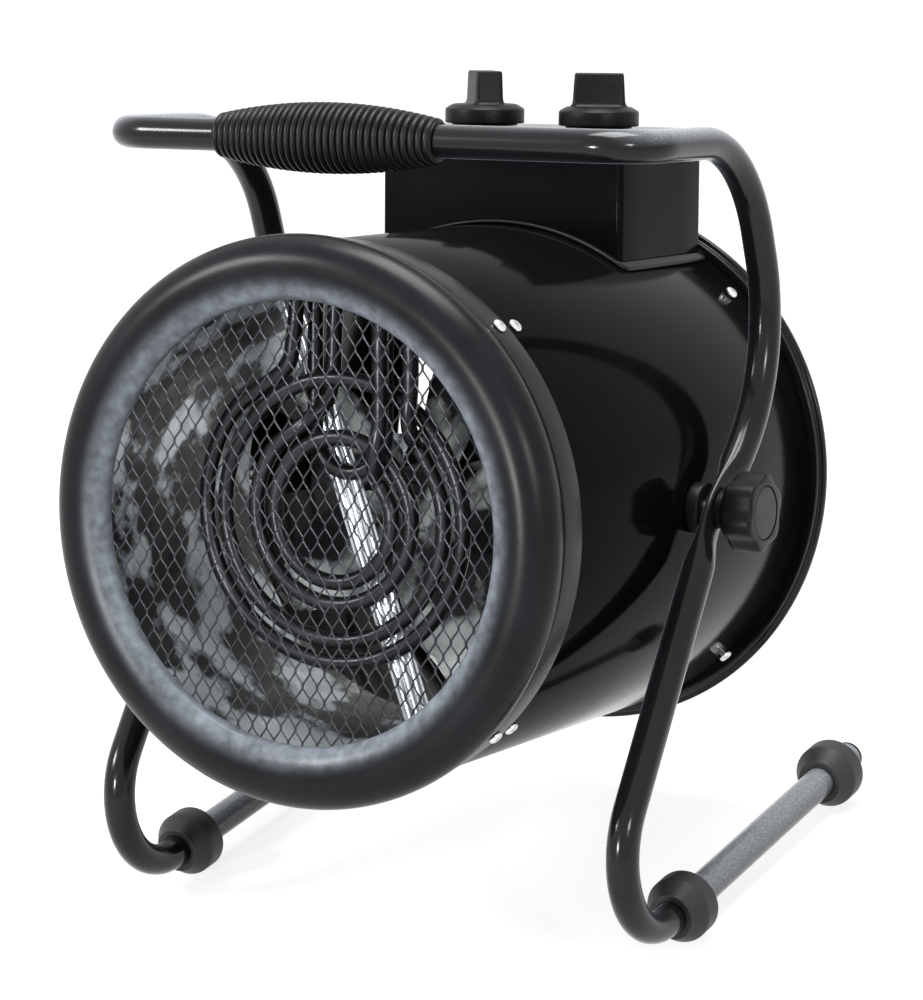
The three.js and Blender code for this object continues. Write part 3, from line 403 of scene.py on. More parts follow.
def grown(name, shape, tree, values, place, sharp=35):
    """Runs a tree on a shape and keeps the result as a plain mesh."""
    mesh = bpy.data.meshes.new(name)
    shape.to_mesh(mesh)
    shape.free()
    made = bpy.data.objects.new(name, mesh)
    scene.collection.objects.link(made)
    build = made.modifiers.new("build", "NODES")
    build.node_group = tree
    for item in tree.interface.items_tree:
        if item.in_out == "INPUT" and item.name in values:
            build[item.identifier] = values[item.name]
    ready = made.evaluated_get(bpy.context.evaluated_depsgraph_get())
    plain = bpy.data.meshes.new_from_object(ready)
    made.modifiers.remove(build)
    made.data = plain
    plain.name = name
    plain.transform(place)
    plain.set_sharp_from_angle(angle=math.radians(sharp))
    return made


ribs, given, out = node_tree(
    "ribs_along_bar",
    [("Ribs", "Int"), ("Length", "Float"), ("Middle Radius", "Float"), ("End Radius", "Float"),
     ("Material", "Material")],
)
gaps = calc(ribs, "DIVIDE", given["Length"], given["Ribs"])
half_long = calc(ribs, "MULTIPLY", given["Length"], -0.5)
first_rib = calc(ribs, "ADD", calc(ribs, "MULTIPLY", gaps, 0.5), half_long)
row = node(ribs, "GeometryNodeMeshLine", {
    "Count": given["Ribs"], "Start Location": combined(ribs, y=first_rib),
    "Offset": combined(ribs, y=gaps),
})
where = node(ribs, "GeometryNodeInputPosition").outputs[0]
along = node(ribs, "ShaderNodeSeparateXYZ", {0: where}).outputs["Y"]
share = calc(ribs, "DIVIDE", along, half_long)
dome = calc(ribs, "SUBTRACT", 1, calc(ribs, "MULTIPLY", share, share))
swell = calc(ribs, "SUBTRACT", given["Middle Radius"], given["End Radius"])
radius = calc(ribs, "ADD", given["End Radius"], calc(ribs, "MULTIPLY", dome, swell))
setting = node(ribs, "GeometryNodeInstanceOnPoints", {
    "Points": row.outputs["Mesh"], "Instance": given["Geometry"],
    "Scale": combined(ribs, radius, 1, radius),
})
end_tree(ribs, given, out, setting.outputs[0])

grip_rubber = finish(
    "ribbed_rubber", (0.0065, 0.0067, 0.0076), 0.3, ior=1.26, drift=0.2, grain=2200, relief=0.1
)
pitch = grip_long / grip_ribs
rib_section = [(0.6, -pitch / 2), (0.885, -pitch * 0.5), (0.94, -pitch * 0.4), (0.98, -pitch * 0.27),
               (0.998, -pitch * 0.1), (0.998, pitch * 0.1), (0.98, pitch * 0.27), (0.94, pitch * 0.4),
               (0.885, pitch * 0.5), (0.6, pitch / 2)]
on_bar = in_stand @ Matrix.Translation((grip_x, bar_y, bar_z)) @ Matrix.Rotation(math.pi / 2, 4, "Z")
rib_sizes = {"Ribs": grip_ribs, "Length": grip_long, "Middle Radius": grip_mid,
             "End Radius": grip_end, "Material": grip_rubber}
rib_rings = grown("grip_ribs", turned_shape(rib_section, 56), ribs, rib_sizes, on_bar, 60)
sleeve_in, sleeve_end = tube_r + 0.3, 62.6
sleeve = turned_shape(eased([
    (sleeve_in, -sleeve_end), (grip_end - 1, -sleeve_end), (grip_end - 0.3, 0),
    (grip_end - 1, sleeve_end), (sleeve_in, sleeve_end),
], 0.8), 56)
grip_sleeve = piece_of("grip_sleeve", sleeve, on_bar, grip_rubber)
for made in (rib_rings, grip_sleeve):
    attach(made, "stand")
    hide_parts("handle_grip")

# ---- Feet ----
# Four turned rubber bushes pushed on to the skids: a cone towards the front, a straight
# band that stands on the floor, and a small eased edge at the back.
foot_rubber = finish(
    "foot_rubber", (0.014, 0.0145, 0.016), 0.5, drift=0.3, cloud=40, grain=1500, relief=0.15
)
foot_front_y, foot_rear_y = -71.11, 112.0
foot_section = [(8.5, -11.5, 0.3), (11.9, -11.5, 0.7), (12.2, -10.2, 0.4), (17.15, -2.6, 0.9),
                (17.15, 8.4, 0.7), (14.3, 11.5, 0.6), (8.5, 11.5, 0.4)]
for name, x, y in (
    ("foot_front_right", side_x, foot_front_y),
    ("foot_front_left", -side_x, foot_front_y),
    ("foot_rear_right", side_x, foot_rear_y),
    ("foot_rear_left", -side_x, foot_rear_y),
):
    bush = turned_shape(eased(foot_section, 1, 4), 64)
    foot = piece_of("rubber_" + name, bush, in_stand @ Matrix.Translation((x, y, foot_r)), foot_rubber)
    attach(foot, "stand")
    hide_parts(name)

# ---- Tube end plugs ----
# Black plastic plugs in the open rear ends of the skids, with a low domed head.
black_plastic = finish(
    "black_plastic", (0.0065, 0.0067, 0.0076), 0.38, ior=1.25, cloud=30, grain=1800, relief=0.1
)
plug_section = [(0, -8, 0), (5.3, -8, 0.4), (5.3, 0.3, 0), (8.15, 0.3, 0.4), (8.15, 1.2, 0.3),
                (7.5, 1.4, 0.2), (7.5, 1.7, 0.2), (8.1, 1.9, 0.3), (7.8, 2.6, 0.6), (5.5, 2.95, 1),
                (0, 3.0, 0)]
for word, x in (("right", side_x), ("left", -side_x)):
    plug = turned_shape(eased(plug_section, 0.5), 40)
    at = in_stand @ Matrix.Translation((x, skid_end, foot_r))
    end = piece_of("end_plug_" + word, plug, at, black_plastic)
    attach(end, "stand")
    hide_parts("tube_plug_" + word)

# ---- Drum shell ----
# Rolled sheet steel in gloss black enamel, open at both ends, with eased edges. Its sizes
# carry the rims, the duct and the screws that follow.
drum_r, sheet_t, drum_front, drum_rear = 135.0, 1.5, -142.0, 144.0
bore = drum_r - sheet_t
drum_enamel = finish(
    "gloss_black_enamel", (0.0035, 0.0036, 0.0042), 0.1, ior=1.085, drift=0.3, cloud=9, grain=500,
    relief=0.02,
)
shell_section = eased([(bore, drum_front + 0.3), (drum_r, drum_front + 0.3), (drum_r, drum_rear - 0.3),
                       (bore, drum_rear - 0.3)], 0.5, 2)
drum = piece_of("drum_sheet", turned_shape(shell_section, 192), in_heater, drum_enamel)
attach(drum, "heater")
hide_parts("drum_shell")

# ---- Front rim ----
# Spun steel ring: a collar over the drum's edge, a neck, a full round and a lip turned in
# over the guard. Satin dark grey, with a painted reflection in a mottled, lighter bluish grey towards the
# lip.
collar_in, outlet_r = drum_r + 0.3, 108.4
rim_out_r = drum_r + 5
crest_r, neck_y, round_deep, lip_deep = (rim_out_r + outlet_r) / 2, drum_front - 12.7, 14.6, 8.8
lip_y = neck_y - round_deep + lip_deep


def oval(centre, radii, start, stop, steps):
    """Points of an oval arc in a [radius, station] outline, in degrees."""
    turns = [math.radians(start + (stop - start) * k / steps) for k in range(steps + 1)]
    return [(centre[0] + radii[0] * math.cos(a), centre[1] - radii[1] * math.sin(a)) for a in turns]


def vector(tree, operation, a, b=None):
    """One Vector Math node: a length comes out as a number, anything else as a vector."""
    values = {0: a} if b is None else {0: a, 1: b}
    made = node(tree, "ShaderNodeVectorMath", values, operation=operation)
    return made.outputs["Value" if operation == "LENGTH" else 0]


rim_grey = finish(
    "satin_grey_rim", (0.006, 0.0066, 0.0082), 0.29, ior=1.25, drift=0.35, cloud=22, grain=1300,
    relief=0.06,
)
rim = rim_grey.node_tree
rim_spot = found(rim, "TEX_COORD").outputs["Object"]
# Painted reflection: a mottled light bluish grey laid on the rim towards the lip, by distance from the
# drum's axis.
drum_axis = (0, math.cos(rest_tilt), -math.sin(rest_tilt))
off_axis = vector(rim, "CROSS_PRODUCT", vector(rim, "SUBTRACT", rim_spot, pivot), drum_axis)
lip_reflection_fade = node(
    rim, "ShaderNodeMapRange",
    {"Value": vector(rim, "LENGTH", off_axis), "From Min": 0.1235, "From Max": 0.1085},
    interpolation_type="SMOOTHERSTEP",
)
mottle = node(rim, "ShaderNodeTexNoise", {"Vector": rim_spot, "Scale": 160, "Detail": 6})
painted_lip_reflection = calc(rim, "MULTIPLY", lip_reflection_fade.outputs["Result"], mottle.outputs["Fac"])
overlaid(rim_grey, (0.31, 0.345, 0.395, 1), painted_lip_reflection)
bore_in = bore - 0.3
out_r, in_r = rim_out_r - crest_r, rim_out_r - crest_r - sheet_t
rim_section = (
    eased([(collar_in, drum_front + 16, 0.2), (collar_in + 1.5, drum_front + 16, 0.5),
           (collar_in + 1.5, drum_front - 1.8, 1.2), (bore_in + sheet_t, drum_front - 1.8, 0.8),
           (bore_in + sheet_t, drum_front - 3.3, 0)], 0.5)[:-1]
    + oval((crest_r, neck_y), (out_r, round_deep), -32, 90, 22)
    + oval((crest_r, lip_y), (crest_r - outlet_r, lip_deep), 90, 180, 14)[1:]
    + oval((crest_r, lip_y + sheet_t), (crest_r - outlet_r, lip_deep), 180, 90, 8)
    + oval((crest_r, neck_y), (in_r, round_deep - sheet_t), 90, -32, 8)[1:]
    + [(bore_in, drum_front - 3.3), (bore_in, drum_front - 0.3), (collar_in, drum_front - 0.3)]
)
front_rim = piece_of("front_rim", turned_shape(rim_section, 192), in_heater, rim_grey)
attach(front_rim, "heater")
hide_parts("front_ring")

# ---- Front guard ----
# Expanded steel mesh behind the lip. Every strand is a flat strip that weaves up the sheet,
# turned edge forward, and meets the strand to its left and to its right by turns.
mesh_wide, mesh_tall, strand_wide, strand_thick = 8.2, 14.4, 1.2, 0.9
guard_y = lip_y + sheet_t + 0.3 + 0.5

weave, given, out = node_tree(
    "expanded_mesh",
    [("Column Pitch", "Float"), ("Row Pitch", "Float"), ("Columns", "Int"), ("Rows", "Int"),
     ("Rim Radius", "Float"), ("Material", "Material")],
)
columns, rows, row_pitch = given["Columns"], given["Rows"], given["Row Pitch"]
grid = node(weave, "GeometryNodeMeshGrid", {
    "Size X": calc(weave, "MULTIPLY", calc(weave, "SUBTRACT", columns, 1), given["Column Pitch"]),
    "Size Y": calc(weave, "MULTIPLY", calc(weave, "SUBTRACT", rows, 1), row_pitch),
    "Vertices X": columns, "Vertices Y": rows,
})
index = node(weave, "GeometryNodeInputIndex").outputs[0]
column = calc(weave, "FLOOR", calc(weave, "DIVIDE", index, rows))
half_row = calc(weave, "MULTIPLY", row_pitch, 0.5)
stagger = calc(weave, "MULTIPLY", calc(weave, "MODULO", column, 2), half_row)
shifted = node(weave, "GeometryNodeSetPosition", {
    "Geometry": grid.outputs["Mesh"], "Offset": combined(weave, y=stagger),
})
spot = node(weave, "GeometryNodeInputPosition").outputs[0]
outside = node(
    weave, "FunctionNodeCompare",
    {0: vector(weave, "LENGTH", spot), 1: calc(weave, "ADD", given["Rim Radius"], 6)},
    data_type="FLOAT", operation="GREATER_THAN",
)
inside = node(weave, "GeometryNodeDeleteGeometry", {
    "Geometry": shifted.outputs[0], "Selection": outside.outputs[0],
})
strands = node(weave, "GeometryNodeInstanceOnPoints", {
    "Points": inside.outputs[0], "Instance": given["Geometry"],
})
solid = node(weave, "GeometryNodeRealizeInstances", {0: strands.outputs[0]})
far = vector(weave, "LENGTH", vector(weave, "MULTIPLY", spot, (1, 1, 0)))
pull = calc(weave, "MINIMUM", calc(weave, "DIVIDE", given["Rim Radius"], far), 1)
pulled = vector(weave, "MULTIPLY", spot, combined(weave, pull, pull, 1))
trimmed = node(
    weave, "GeometryNodeSetPosition", {"Geometry": solid.outputs[0], "Position": pulled}
)
end_tree(weave, given, out, trimmed.outputs[0])


def strand_shape():
    """One whole wave of a strand, bond to bond and back, in the sheet's plane."""
    tilt = math.radians(48)
    wide = Vector((math.cos(tilt), 0, math.sin(tilt))) * strand_wide / 2
    thick = Vector((-math.sin(tilt), 0, math.cos(tilt))) * strand_thick / 2
    section = [(1, 0.6), (0.7, 1), (-0.7, 1), (-1, 0.6), (-1, -0.6), (-0.7, -1), (0.7, -1), (1, -0.6)]
    quarter, bond = mesh_wide / 4, 1.1
    bow = wide * 0.92
    wave = [(-1, -mesh_tall / 2), (-1, -mesh_tall / 2 + bond), (1, -bond), (1, bond),
            (-1, mesh_tall / 2 - bond), (-1, mesh_tall / 2)]
    shape = bmesh.new()
    rings = []
    for way, y in wave:
        at = Vector((way * quarter, y, 0)) - bow * way
        rings.append([shape.verts.new(at + wide * u + thick * v) for u, v in section])
    return closed(shape, rings)


guard_black = finish(
    "black_mesh_paint", (0.045, 0.048, 0.054), 0.2, metallic=0.6, drift=0.3, cloud=60, grain=2500,
    relief=0.1,
)
in_guard = in_heater @ Matrix.Translation((0, guard_y, 0)) @ Matrix.Rotation(math.pi / 2, 4, "X")
weave_sizes = {"Column Pitch": mesh_wide / 2, "Row Pitch": mesh_tall, "Columns": 57, "Rows": 18,
               "Rim Radius": outlet_r + 3, "Material": guard_black}
guard_mesh = grown("expanded_guard", strand_shape(), weave, weave_sizes, in_guard, 25)
half_band = strand_thick / 2
rim_band = turned_shape(eased([
    (outlet_r + 0.8, guard_y - half_band), (outlet_r + 3.5, guard_y - half_band),
    (outlet_r + 3.5, guard_y + half_band), (outlet_r + 0.8, guard_y + half_band),
], 0.2, 1), 128)
guard_band = piece_of("guard_band", rim_band, in_heater, guard_black)
for made in (guard_mesh, guard_band):
    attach(made, "heater")
    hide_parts("front_guard")

# ---- Rear rim and rear guard ----
# The rear guard is a pressed steel sheet with slots in rings, lying on the drum's edge.
# A stepped band in the stand's black coat holds it, proud of the drum all round.
rear_guard_y, intake_r, rear_face = drum_rear + 0.3, 122.0, drum_rear + 2.1
rear_out_r = drum_r + 7.5
band_section = eased([
    (collar_in, rear_face - 6), (139.4, rear_face - 6, 0.6), (139.9, rear_face - 2.6, 0.5),
    (rear_out_r, rear_face - 2.2, 1.2), (rear_out_r, rear_face + 1.5, 1.6),
    (intake_r, rear_face + 1.5, 0.7),
    (intake_r, rear_face, 0.3), (collar_in, rear_face, 0),
], 0.3, 4)
rear_rim = piece_of("rear_rim", turned_shape(band_section, 192), in_heater, black_coat)
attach(rear_rim, "heater")
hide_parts("rear_ring")

bars, given, out = node_tree(
    "guard_bars", [("Bars", "Int"), ("Radius", "Float"), ("First", "Float"), ("Material", "Material")]
)


def end_ring(tree, given, out, count, turn, offset):
    """Moves the tree's shape out by an offset and sets copies of it round Y, each at its turn."""
    centre = node(tree, "GeometryNodeMeshLine", {"Count": count, "Offset": (0, 0, 0)})
    moved = node(
        tree, "GeometryNodeTransform", {"Geometry": given["Geometry"], "Translation": offset}
    )
    copies = node(tree, "GeometryNodeInstanceOnPoints", {
        "Points": centre.outputs["Mesh"], "Instance": moved.outputs[0],
        "Rotation": combined(tree, y=turn),
    })
    end_tree(tree, given, out, copies.outputs[0])


number = node(bars, "GeometryNodeInputIndex").outputs[0]
bar_step = calc(bars, "DIVIDE", 2 * math.pi, given["Bars"])
bar_turn = calc(bars, "MULTIPLY", calc(bars, "ADD", number, given["First"]), bar_step)
end_ring(bars, given, out, given["Bars"], bar_turn, combined(bars, given["Radius"]))


def bar_shape(long, wide, thick, ease):
    """A flat bar along X with eased edges."""
    shape = bmesh.new()
    bmesh.ops.create_cube(shape, size=1, matrix=Matrix.Diagonal((long, thick, wide, 1)))
    bmesh.ops.bevel(shape, geom=shape.edges[:], offset=ease, segments=2, affect="EDGES")
    bmesh.ops.recalc_face_normals(shape, faces=shape.faces)
    return shape


guard_hub, guard_rings, plate_t = 22, 5, 1.5
ring_gap = (intake_r - guard_hub) / guard_rings
plate_back = rear_guard_y + plate_t
guard_pieces = []
for ring in range(guard_rings + 1):
    r = guard_hub + ring * ring_gap
    wide = 1.5 if ring < guard_rings else 6.5
    hoop = [(r - 1.5, rear_guard_y, 0.4), (r + wide, rear_guard_y, 0.4),
            (r + wide, plate_back, 0.4), (r - 1.5, plate_back, 0.4)]
    if ring == 0:
        hoop = [(0, rear_guard_y), (r + wide, rear_guard_y, 0.4), (r + wide, plate_back, 0.5),
                (12, plate_back, 1), (10, rear_guard_y + 2.4, 1), (0, rear_guard_y + 2.4)]
    hoop_shape = turned_shape(eased(hoop, 0.4), 128)
    guard_pieces.append(piece_of(f"rear_guard_ring_{ring}", hoop_shape, in_heater, guard_black))
    if ring < guard_rings:
        bar = bar_shape(ring_gap, 3, plate_t, 0.35)
        bmesh.ops.translate(bar, vec=(0, rear_guard_y + plate_t / 2, 0), verts=bar.verts)
        sizes = {"Bars": 6, "Radius": r + ring_gap / 2, "First": -(ring % 2) / 2, "Material": guard_black}
        guard_pieces.append(grown(f"rear_guard_bars_{ring}", bar, bars, sizes, in_heater))
for made in guard_pieces:
    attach(made, "heater")
    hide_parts("rear_guard")

# ---- Inner duct ----
# Galvanised sheet round the elements and the fan, flanged to the guard in front and to
# the drum behind. Its zinc shows large dark and bright patches, and crystals in its gloss.
liner_front, liner_rear, duct_r = guard_y + 0.8, -20.0, 116
zinc_skin = finish(
    "galvanised_sheet", (0.47, 0.5, 0.55), 0.34, metallic=0.45, drift=0.93, cloud=30, grain=700,
    ramp=(0.49, 0.56),
)
zinc = zinc_skin.node_tree
crystals = node(
    zinc, "ShaderNodeTexVoronoi", {"Vector": found(zinc, "TEX_COORD").outputs["Object"], "Scale": 170}
)
crystal_tone = node(
    zinc, "ShaderNodeMapRange", {"Value": crystals.outputs["Color"], "To Min": 0.24, "To Max": 0.46}
)
zinc.links.new(crystal_tone.outputs["Result"], zinc.nodes["Principled BSDF"].inputs["Roughness"])
liner_section = eased([
    (outlet_r + 1.6, liner_front), (duct_r, liner_front, 1.2), (duct_r, liner_rear - 1, 0),
    (bore_in, liner_rear - 1), (bore_in, liner_rear), (duct_r - 1, liner_rear, 1),
    (duct_r - 1, liner_front + 1, 0), (outlet_r + 1.6, liner_front + 1),
], 0.2, 3)
duct = piece_of("inner_duct", turned_shape(liner_section, 160), in_heater, zinc_skin)
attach(duct, "heater")
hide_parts("inner_liner")

# ---- Heating elements ----
# Three sheathed rods with both ends led up to the top of the duct: two are bent to flat
# spirals, the inner one to a hairpin. The steel sheath is dark from the first heating.
rod_r, coil_y, leg_offset = 4.0, -122.0, 11.5

rods, given, out = node_tree(
    "rod_along_route", [("Rod Radius", "Float"), ("Sides", "Int"), ("Material", "Material")]
)
route_curve = node(rods, "GeometryNodeMeshToCurve", {"Mesh": given["Geometry"]})
rod_section = node(rods, "GeometryNodeCurvePrimitiveCircle", {
    "Resolution": given["Sides"], "Radius": given["Rod Radius"],
})
skin = node(rods, "GeometryNodeCurveToMesh", {
    "Curve": route_curve.outputs[0], "Profile Curve": rod_section.outputs[0], "Fill Caps": True,
})
end_tree(rods, given, out, skin.outputs[0])


def through(points, steps):
    """A smooth route through points, which keeps close to them where they stand near together."""
    first, last = points[0] * 2 - points[1], points[-1] * 2 - points[-2]
    full = [first] + points + [last]
    route = []
    for p0, p1, p2, p3 in zip(full, full[1:], full[2:], full[3:]):
        d0, d1, d2 = ((b - a).length ** 0.5 for a, b in ((p0, p1), (p1, p2), (p2, p3)))
        t1 = ((p1 - p0) / d0 - (p2 - p0) / (d0 + d1) + (p2 - p1) / d1) * d1
        t2 = ((p2 - p1) / d1 - (p3 - p1) / (d1 + d2) + (p3 - p2) / d2) * d1
        for k in range(steps):
            t = k / steps
            route.append(
                p1 * (2 * t**3 - 3 * t**2 + 1) + t1 * (t**3 - 2 * t**2 + t)
                + p2 * (3 * t**2 - 2 * t**3) + t2 * (t**3 - t**2)
            )
    return route + [points[-1]]


def element_route(outer, turns, pitch, legs, planes):
    """Leg down, flat spiral inwards, out of its plane, and up again as the second leg."""
    leg_y = [coil_y + plane * leg_offset for plane in planes]
    tops = [math.sqrt(duct_r**2 - x**2) + 8 for x in legs]
    points = [
        Vector((legs[0], leg_y[0], tops[0])),
        Vector((legs[0], leg_y[0], (tops[0] + outer) / 2 + 6)),
        Vector((legs[0] - 2, leg_y[0] * 0.7 + coil_y * 0.3, outer + 7)),
    ]
    steps = round(turns * 12)
    for k in range(steps + 1):
        a = math.radians(112 + turns * 360 * k / steps)
        r = outer - pitch * turns * k / steps
        points.append(Vector((r * math.cos(a), coil_y, r * math.sin(a))))
    end = points[-1]
    aside = legs[1] - end.x
    points += [
        Vector((end.x + aside * 0.3, coil_y + planes[1] * leg_offset * 0.55, end.z + 4)),
        Vector((end.x + aside * 0.6, leg_y[1], end.z + 12)),
        Vector((legs[1], leg_y[1], end.z + 30)),
        Vector((legs[1], leg_y[1], (end.z + 30 + tops[1]) / 2)),
        Vector((legs[1], leg_y[1], tops[1])),
    ]
    return through(points, 8)


sheath = finish(
    "heated_sheath", (0.035, 0.036, 0.04), 0.27, metallic=0.75, drift=0.45, cloud=26, grain=1500,
    relief=0.08,
)
hairpin_r, hairpin_rise = 20, 40
hairpin_top = math.sqrt(duct_r**2 - hairpin_r**2) + 8
half_turn = [math.pi * k / 24 for k in range(-24, 1)]
hairpin = [(-hairpin_r, hairpin_top)]
hairpin += [(hairpin_r * math.cos(a), hairpin_rise + hairpin_r * math.sin(a)) for a in half_turn]
hairpin.append((hairpin_r, hairpin_top))
for name, course in (
    ("outer", element_route(78, 1.8, 11, (-24, 47), (0, -1))),
    ("middle", element_route(49, 1.8, 11, (-9, 30), (1, -1))),
    ("inner", [Vector((x, coil_y + leg_offset, z)) for x, z in hairpin]),
):
    route = bmesh.new()
    spots = [route.verts.new(p) for p in course]
    for a, b in zip(spots, spots[1:]):
        route.edges.new((a, b))
    sizes = {"Rod Radius": rod_r, "Sides": 16, "Material": sheath}
    element = grown("element_" + name, route, rods, sizes, in_heater)
    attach(element, "heater")
    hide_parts("heating_element_" + name)

# ---- Element strip and thermal cut-out ----
# A ribbed galvanised strip lies across the duct behind the elements, with a tab bent back
# on the duct's wall at each end. A round cut-out is fixed on it, below the middle.
strip_half, strip_t, rib_rise, rib_pitch = 8, 1.2, 1.4, 4.571
strip_y = coil_y + leg_offset + rod_r + rib_rise + strip_t + 0.3
strip_reach = (duct_r - 1) * math.cos(math.pi / 36) - 0.3
bright_zinc = finish(
    "bright_zinc", (0.72, 0.75, 0.78), 0.2, metallic=0.85, drift=0.1, cloud=60, grain=1500,
    relief=0.06,
)
section = [(-strip_half, 0), (strip_half, 0), (strip_half, strip_t)]
for x in (rib_pitch, 0, -rib_pitch):
    section += [(x + 2.2, strip_t), (x + 1.5, 2.0), (x + 0.6, 2.6)]
    section += [(x - 0.6, 2.6), (x - 1.5, 2.0), (x - 2.2, strip_t)]
section.append((-strip_half, strip_t))
strip = bmesh.new()
ends = [
    [strip.verts.new((-x, -y, z)) for x, y in section] for z in (1.5 - strip_reach, strip_reach - 1.5)
]
for k in range(len(section)):
    m = (k + 1) % len(section)
    strip.faces.new((ends[0][k], ends[0][m], ends[1][m], ends[1][k]))
strip.faces.new(ends[0])
strip.faces.new(ends[1])
for z in (-1, 1):
    bmesh.ops.create_cube(
        strip, size=1,
        matrix=Matrix.Translation((0, 6.3, z * (strip_reach - 2.2))) @ Matrix.Diagonal((16, 15, 1.2, 1)),
    )
bmesh.ops.recalc_face_normals(strip, faces=strip.faces)
in_strip = in_heater @ Matrix.Translation((0, strip_y, 0)) @ Matrix.Rotation(math.radians(-20), 4, "Y")
element_strip = piece_of("ribbed_strip", strip, in_strip, bright_zinc, 40)
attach(element_strip, "heater")
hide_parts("element_strip")

disc = turned_shape(eased([
    (0, 0.3), (9.5, 0.3, 0.3), (9.5, 1.2, 0.3), (8, 1.2, 0.3), (8, 7, 0.8), (5, 9, 0.8), (0, 9),
], 0.3), 48)
cutout = piece_of("cutout_disc", disc, in_strip @ Matrix.Translation((0, 0, -62)), bright_zinc)
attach(cutout, "heater")
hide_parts("thermal_cutout")

# ---- Fan and shaft ----
# Five pressed blades, twisted and cambered, on a round hub that turns with the motor's
# shaft in the duct behind the elements.
fan_front, fan_hub_r, fan_r = -50.0, 18.0, 104.0
blade_root, blade_t, steps_out, steps_over = 13, 1.3, 9, 9
blade = bmesh.new()
low, high = [], []
for layer, rows_of in ((-0.5, low), (0.5, high)):
    for i in range(steps_out):
        t = i / (steps_out - 1)
        r = blade_root + (fan_r - blade_root) * t
        chord = 20 + 34 * math.sin(math.pi * min(1, 0.25 + 0.55 * t))
        pitch_angle = math.radians(40 - 17 * t)
        line = []
        for c in range(steps_over):
            s = c / (steps_over - 1) - 0.5
            u = chord * s
            w = 5 * (0.25 - s * s) + layer * blade_t
            side_way = u * math.cos(pitch_angle) - w * math.sin(pitch_angle)
            along = u * math.sin(pitch_angle) + w * math.cos(pitch_angle)
            a = side_way / max(r, 26)
            rr = r * (1 - 0.22 * (2 * abs(s)) ** 3 * t**3)
            line.append(blade.verts.new((rr * math.cos(a), along, rr * math.sin(a))))
        rows_of.append(line)
    for a, b in zip(rows_of, rows_of[1:]):
        for c in range(steps_over - 1):
            blade.faces.new((a[c], b[c], b[c + 1], a[c + 1]))
border = [(i, 0) for i in range(steps_out)] + [(steps_out - 1, c) for c in range(1, steps_over)]
border += [(i, steps_over - 1) for i in range(steps_out - 2, -1, -1)]
border += [(0, c) for c in range(steps_over - 2, 0, -1)]
for (i, c), (j, d) in zip(border, border[1:] + border[:1]):
    blade.faces.new((low[i][c], low[j][d], high[j][d], high[i][c]))
bmesh.ops.recalc_face_normals(blade, faces=blade.faces)
fan_metal = finish(
    "pressed_fan_sheet", (0.5, 0.53, 0.57), 0.36, metallic=0.45, drift=0.93, cloud=24, grain=900,
    relief=0.06, ramp=(0.5, 0.58),
)
in_fan = in_heater @ Matrix.Translation((0, fan_front + 14, 0))
sizes = {"Bars": 5, "Radius": 0.0, "First": 0.0, "Material": fan_metal}
fan_blades = grown("fan_blades", blade, bars, sizes, in_fan, 50)
hub = turned_shape(eased([
    (0, -11.5), (8, -11.5, 1), (9, -14, 1), (fan_hub_r - 1, -14, 2), (fan_hub_r, 14, 1.5),
    (12, 14, 0.5), (12, 10, 0.5), (0, 10),
], 1), 64)
fan_hub = piece_of("fan_hub", hub, in_fan, fan_metal)
for made in (fan_blades, fan_hub):
    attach(made, "fan")
    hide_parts("fan_blade")

turned_steel = finish(
    "turned_steel", (0.5, 0.5, 0.52), 0.22, metallic=1.0, drift=0.08, cloud=80, grain=3000
)
axle = turned_shape(eased([(0, -49), (3.2, -49), (4, -47.5), (4, 21), (3.2, 22), (0, 22)], 0.3), 32)
shaft = piece_of("motor_axle", axle, in_heater, turned_steel)
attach(shaft, "fan")
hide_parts("motor_shaft")

# ---- Motor and bracket ----
# A round motor with cast end shields and a laminated stator between them, held by a flat
# strap across the drum behind it.
motor_dark = finish(
    "motor_shield", (0.03, 0.031, 0.033), 0.5, metallic=0.4, cloud=40, grain=1200, relief=0.3
)
stator = [(41.2, 28)]
for k in range(12):
    y = 28 + k * 2.0
    stator += [(41.2, y), (42, y + 0.35), (42, y + 1.35), (41.2, y + 1.7)]
shield = (
    [(0, 24), (4.3, 24), (4.3, 4), (12, 4), (12, 8), (37, 8), (40.5, 9.5), (42, 13), (42, 27), (41.2, 27.6)]
    + stator[1:]
    + [(41.2, 53), (42, 53.6), (42, 64), (40, 68), (36, 70), (14, 70), (13, 68.5), (0, 68.5)]
)
motor = piece_of("round_motor", turned_shape(shield, 96), in_heater, motor_dark, 30)
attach(motor, "heater")
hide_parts("motor_body")

bracket_reach = bore * math.cos(math.pi / 36) - 0.3
strap = bar_shape(2 * bracket_reach - 1, 34, 1.5, 0.3)
bmesh.ops.translate(strap, vec=(0, 71.05, 0), verts=strap.verts)
for end in (-1, 1):
    tab = bar_shape(1.6, 34, 20, 0.3)
    bmesh.ops.translate(tab, vec=(end * (bracket_reach - 2.4), 80.3, 0), verts=tab.verts)
    extra = bpy.data.meshes.new("tab")
    tab.to_mesh(extra)
    strap.from_mesh(extra)
    tab.free()
motor_strap = piece_of("motor_strap", strap, in_heater, zinc_skin)
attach(motor_strap, "heater")
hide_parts("motor_bracket")

# ---- Control box and its saddle ----
# A folded steel box in a gloss black of its own, cut underneath to the drum's curve, on a
# curved base plate whose lip shows all round it.
box_wide, box_long, box_y, box_top, saddle_out = 141.6, 94.0, 88.5, 183.5, 137.3
on_drum_r = drum_r + 0.3


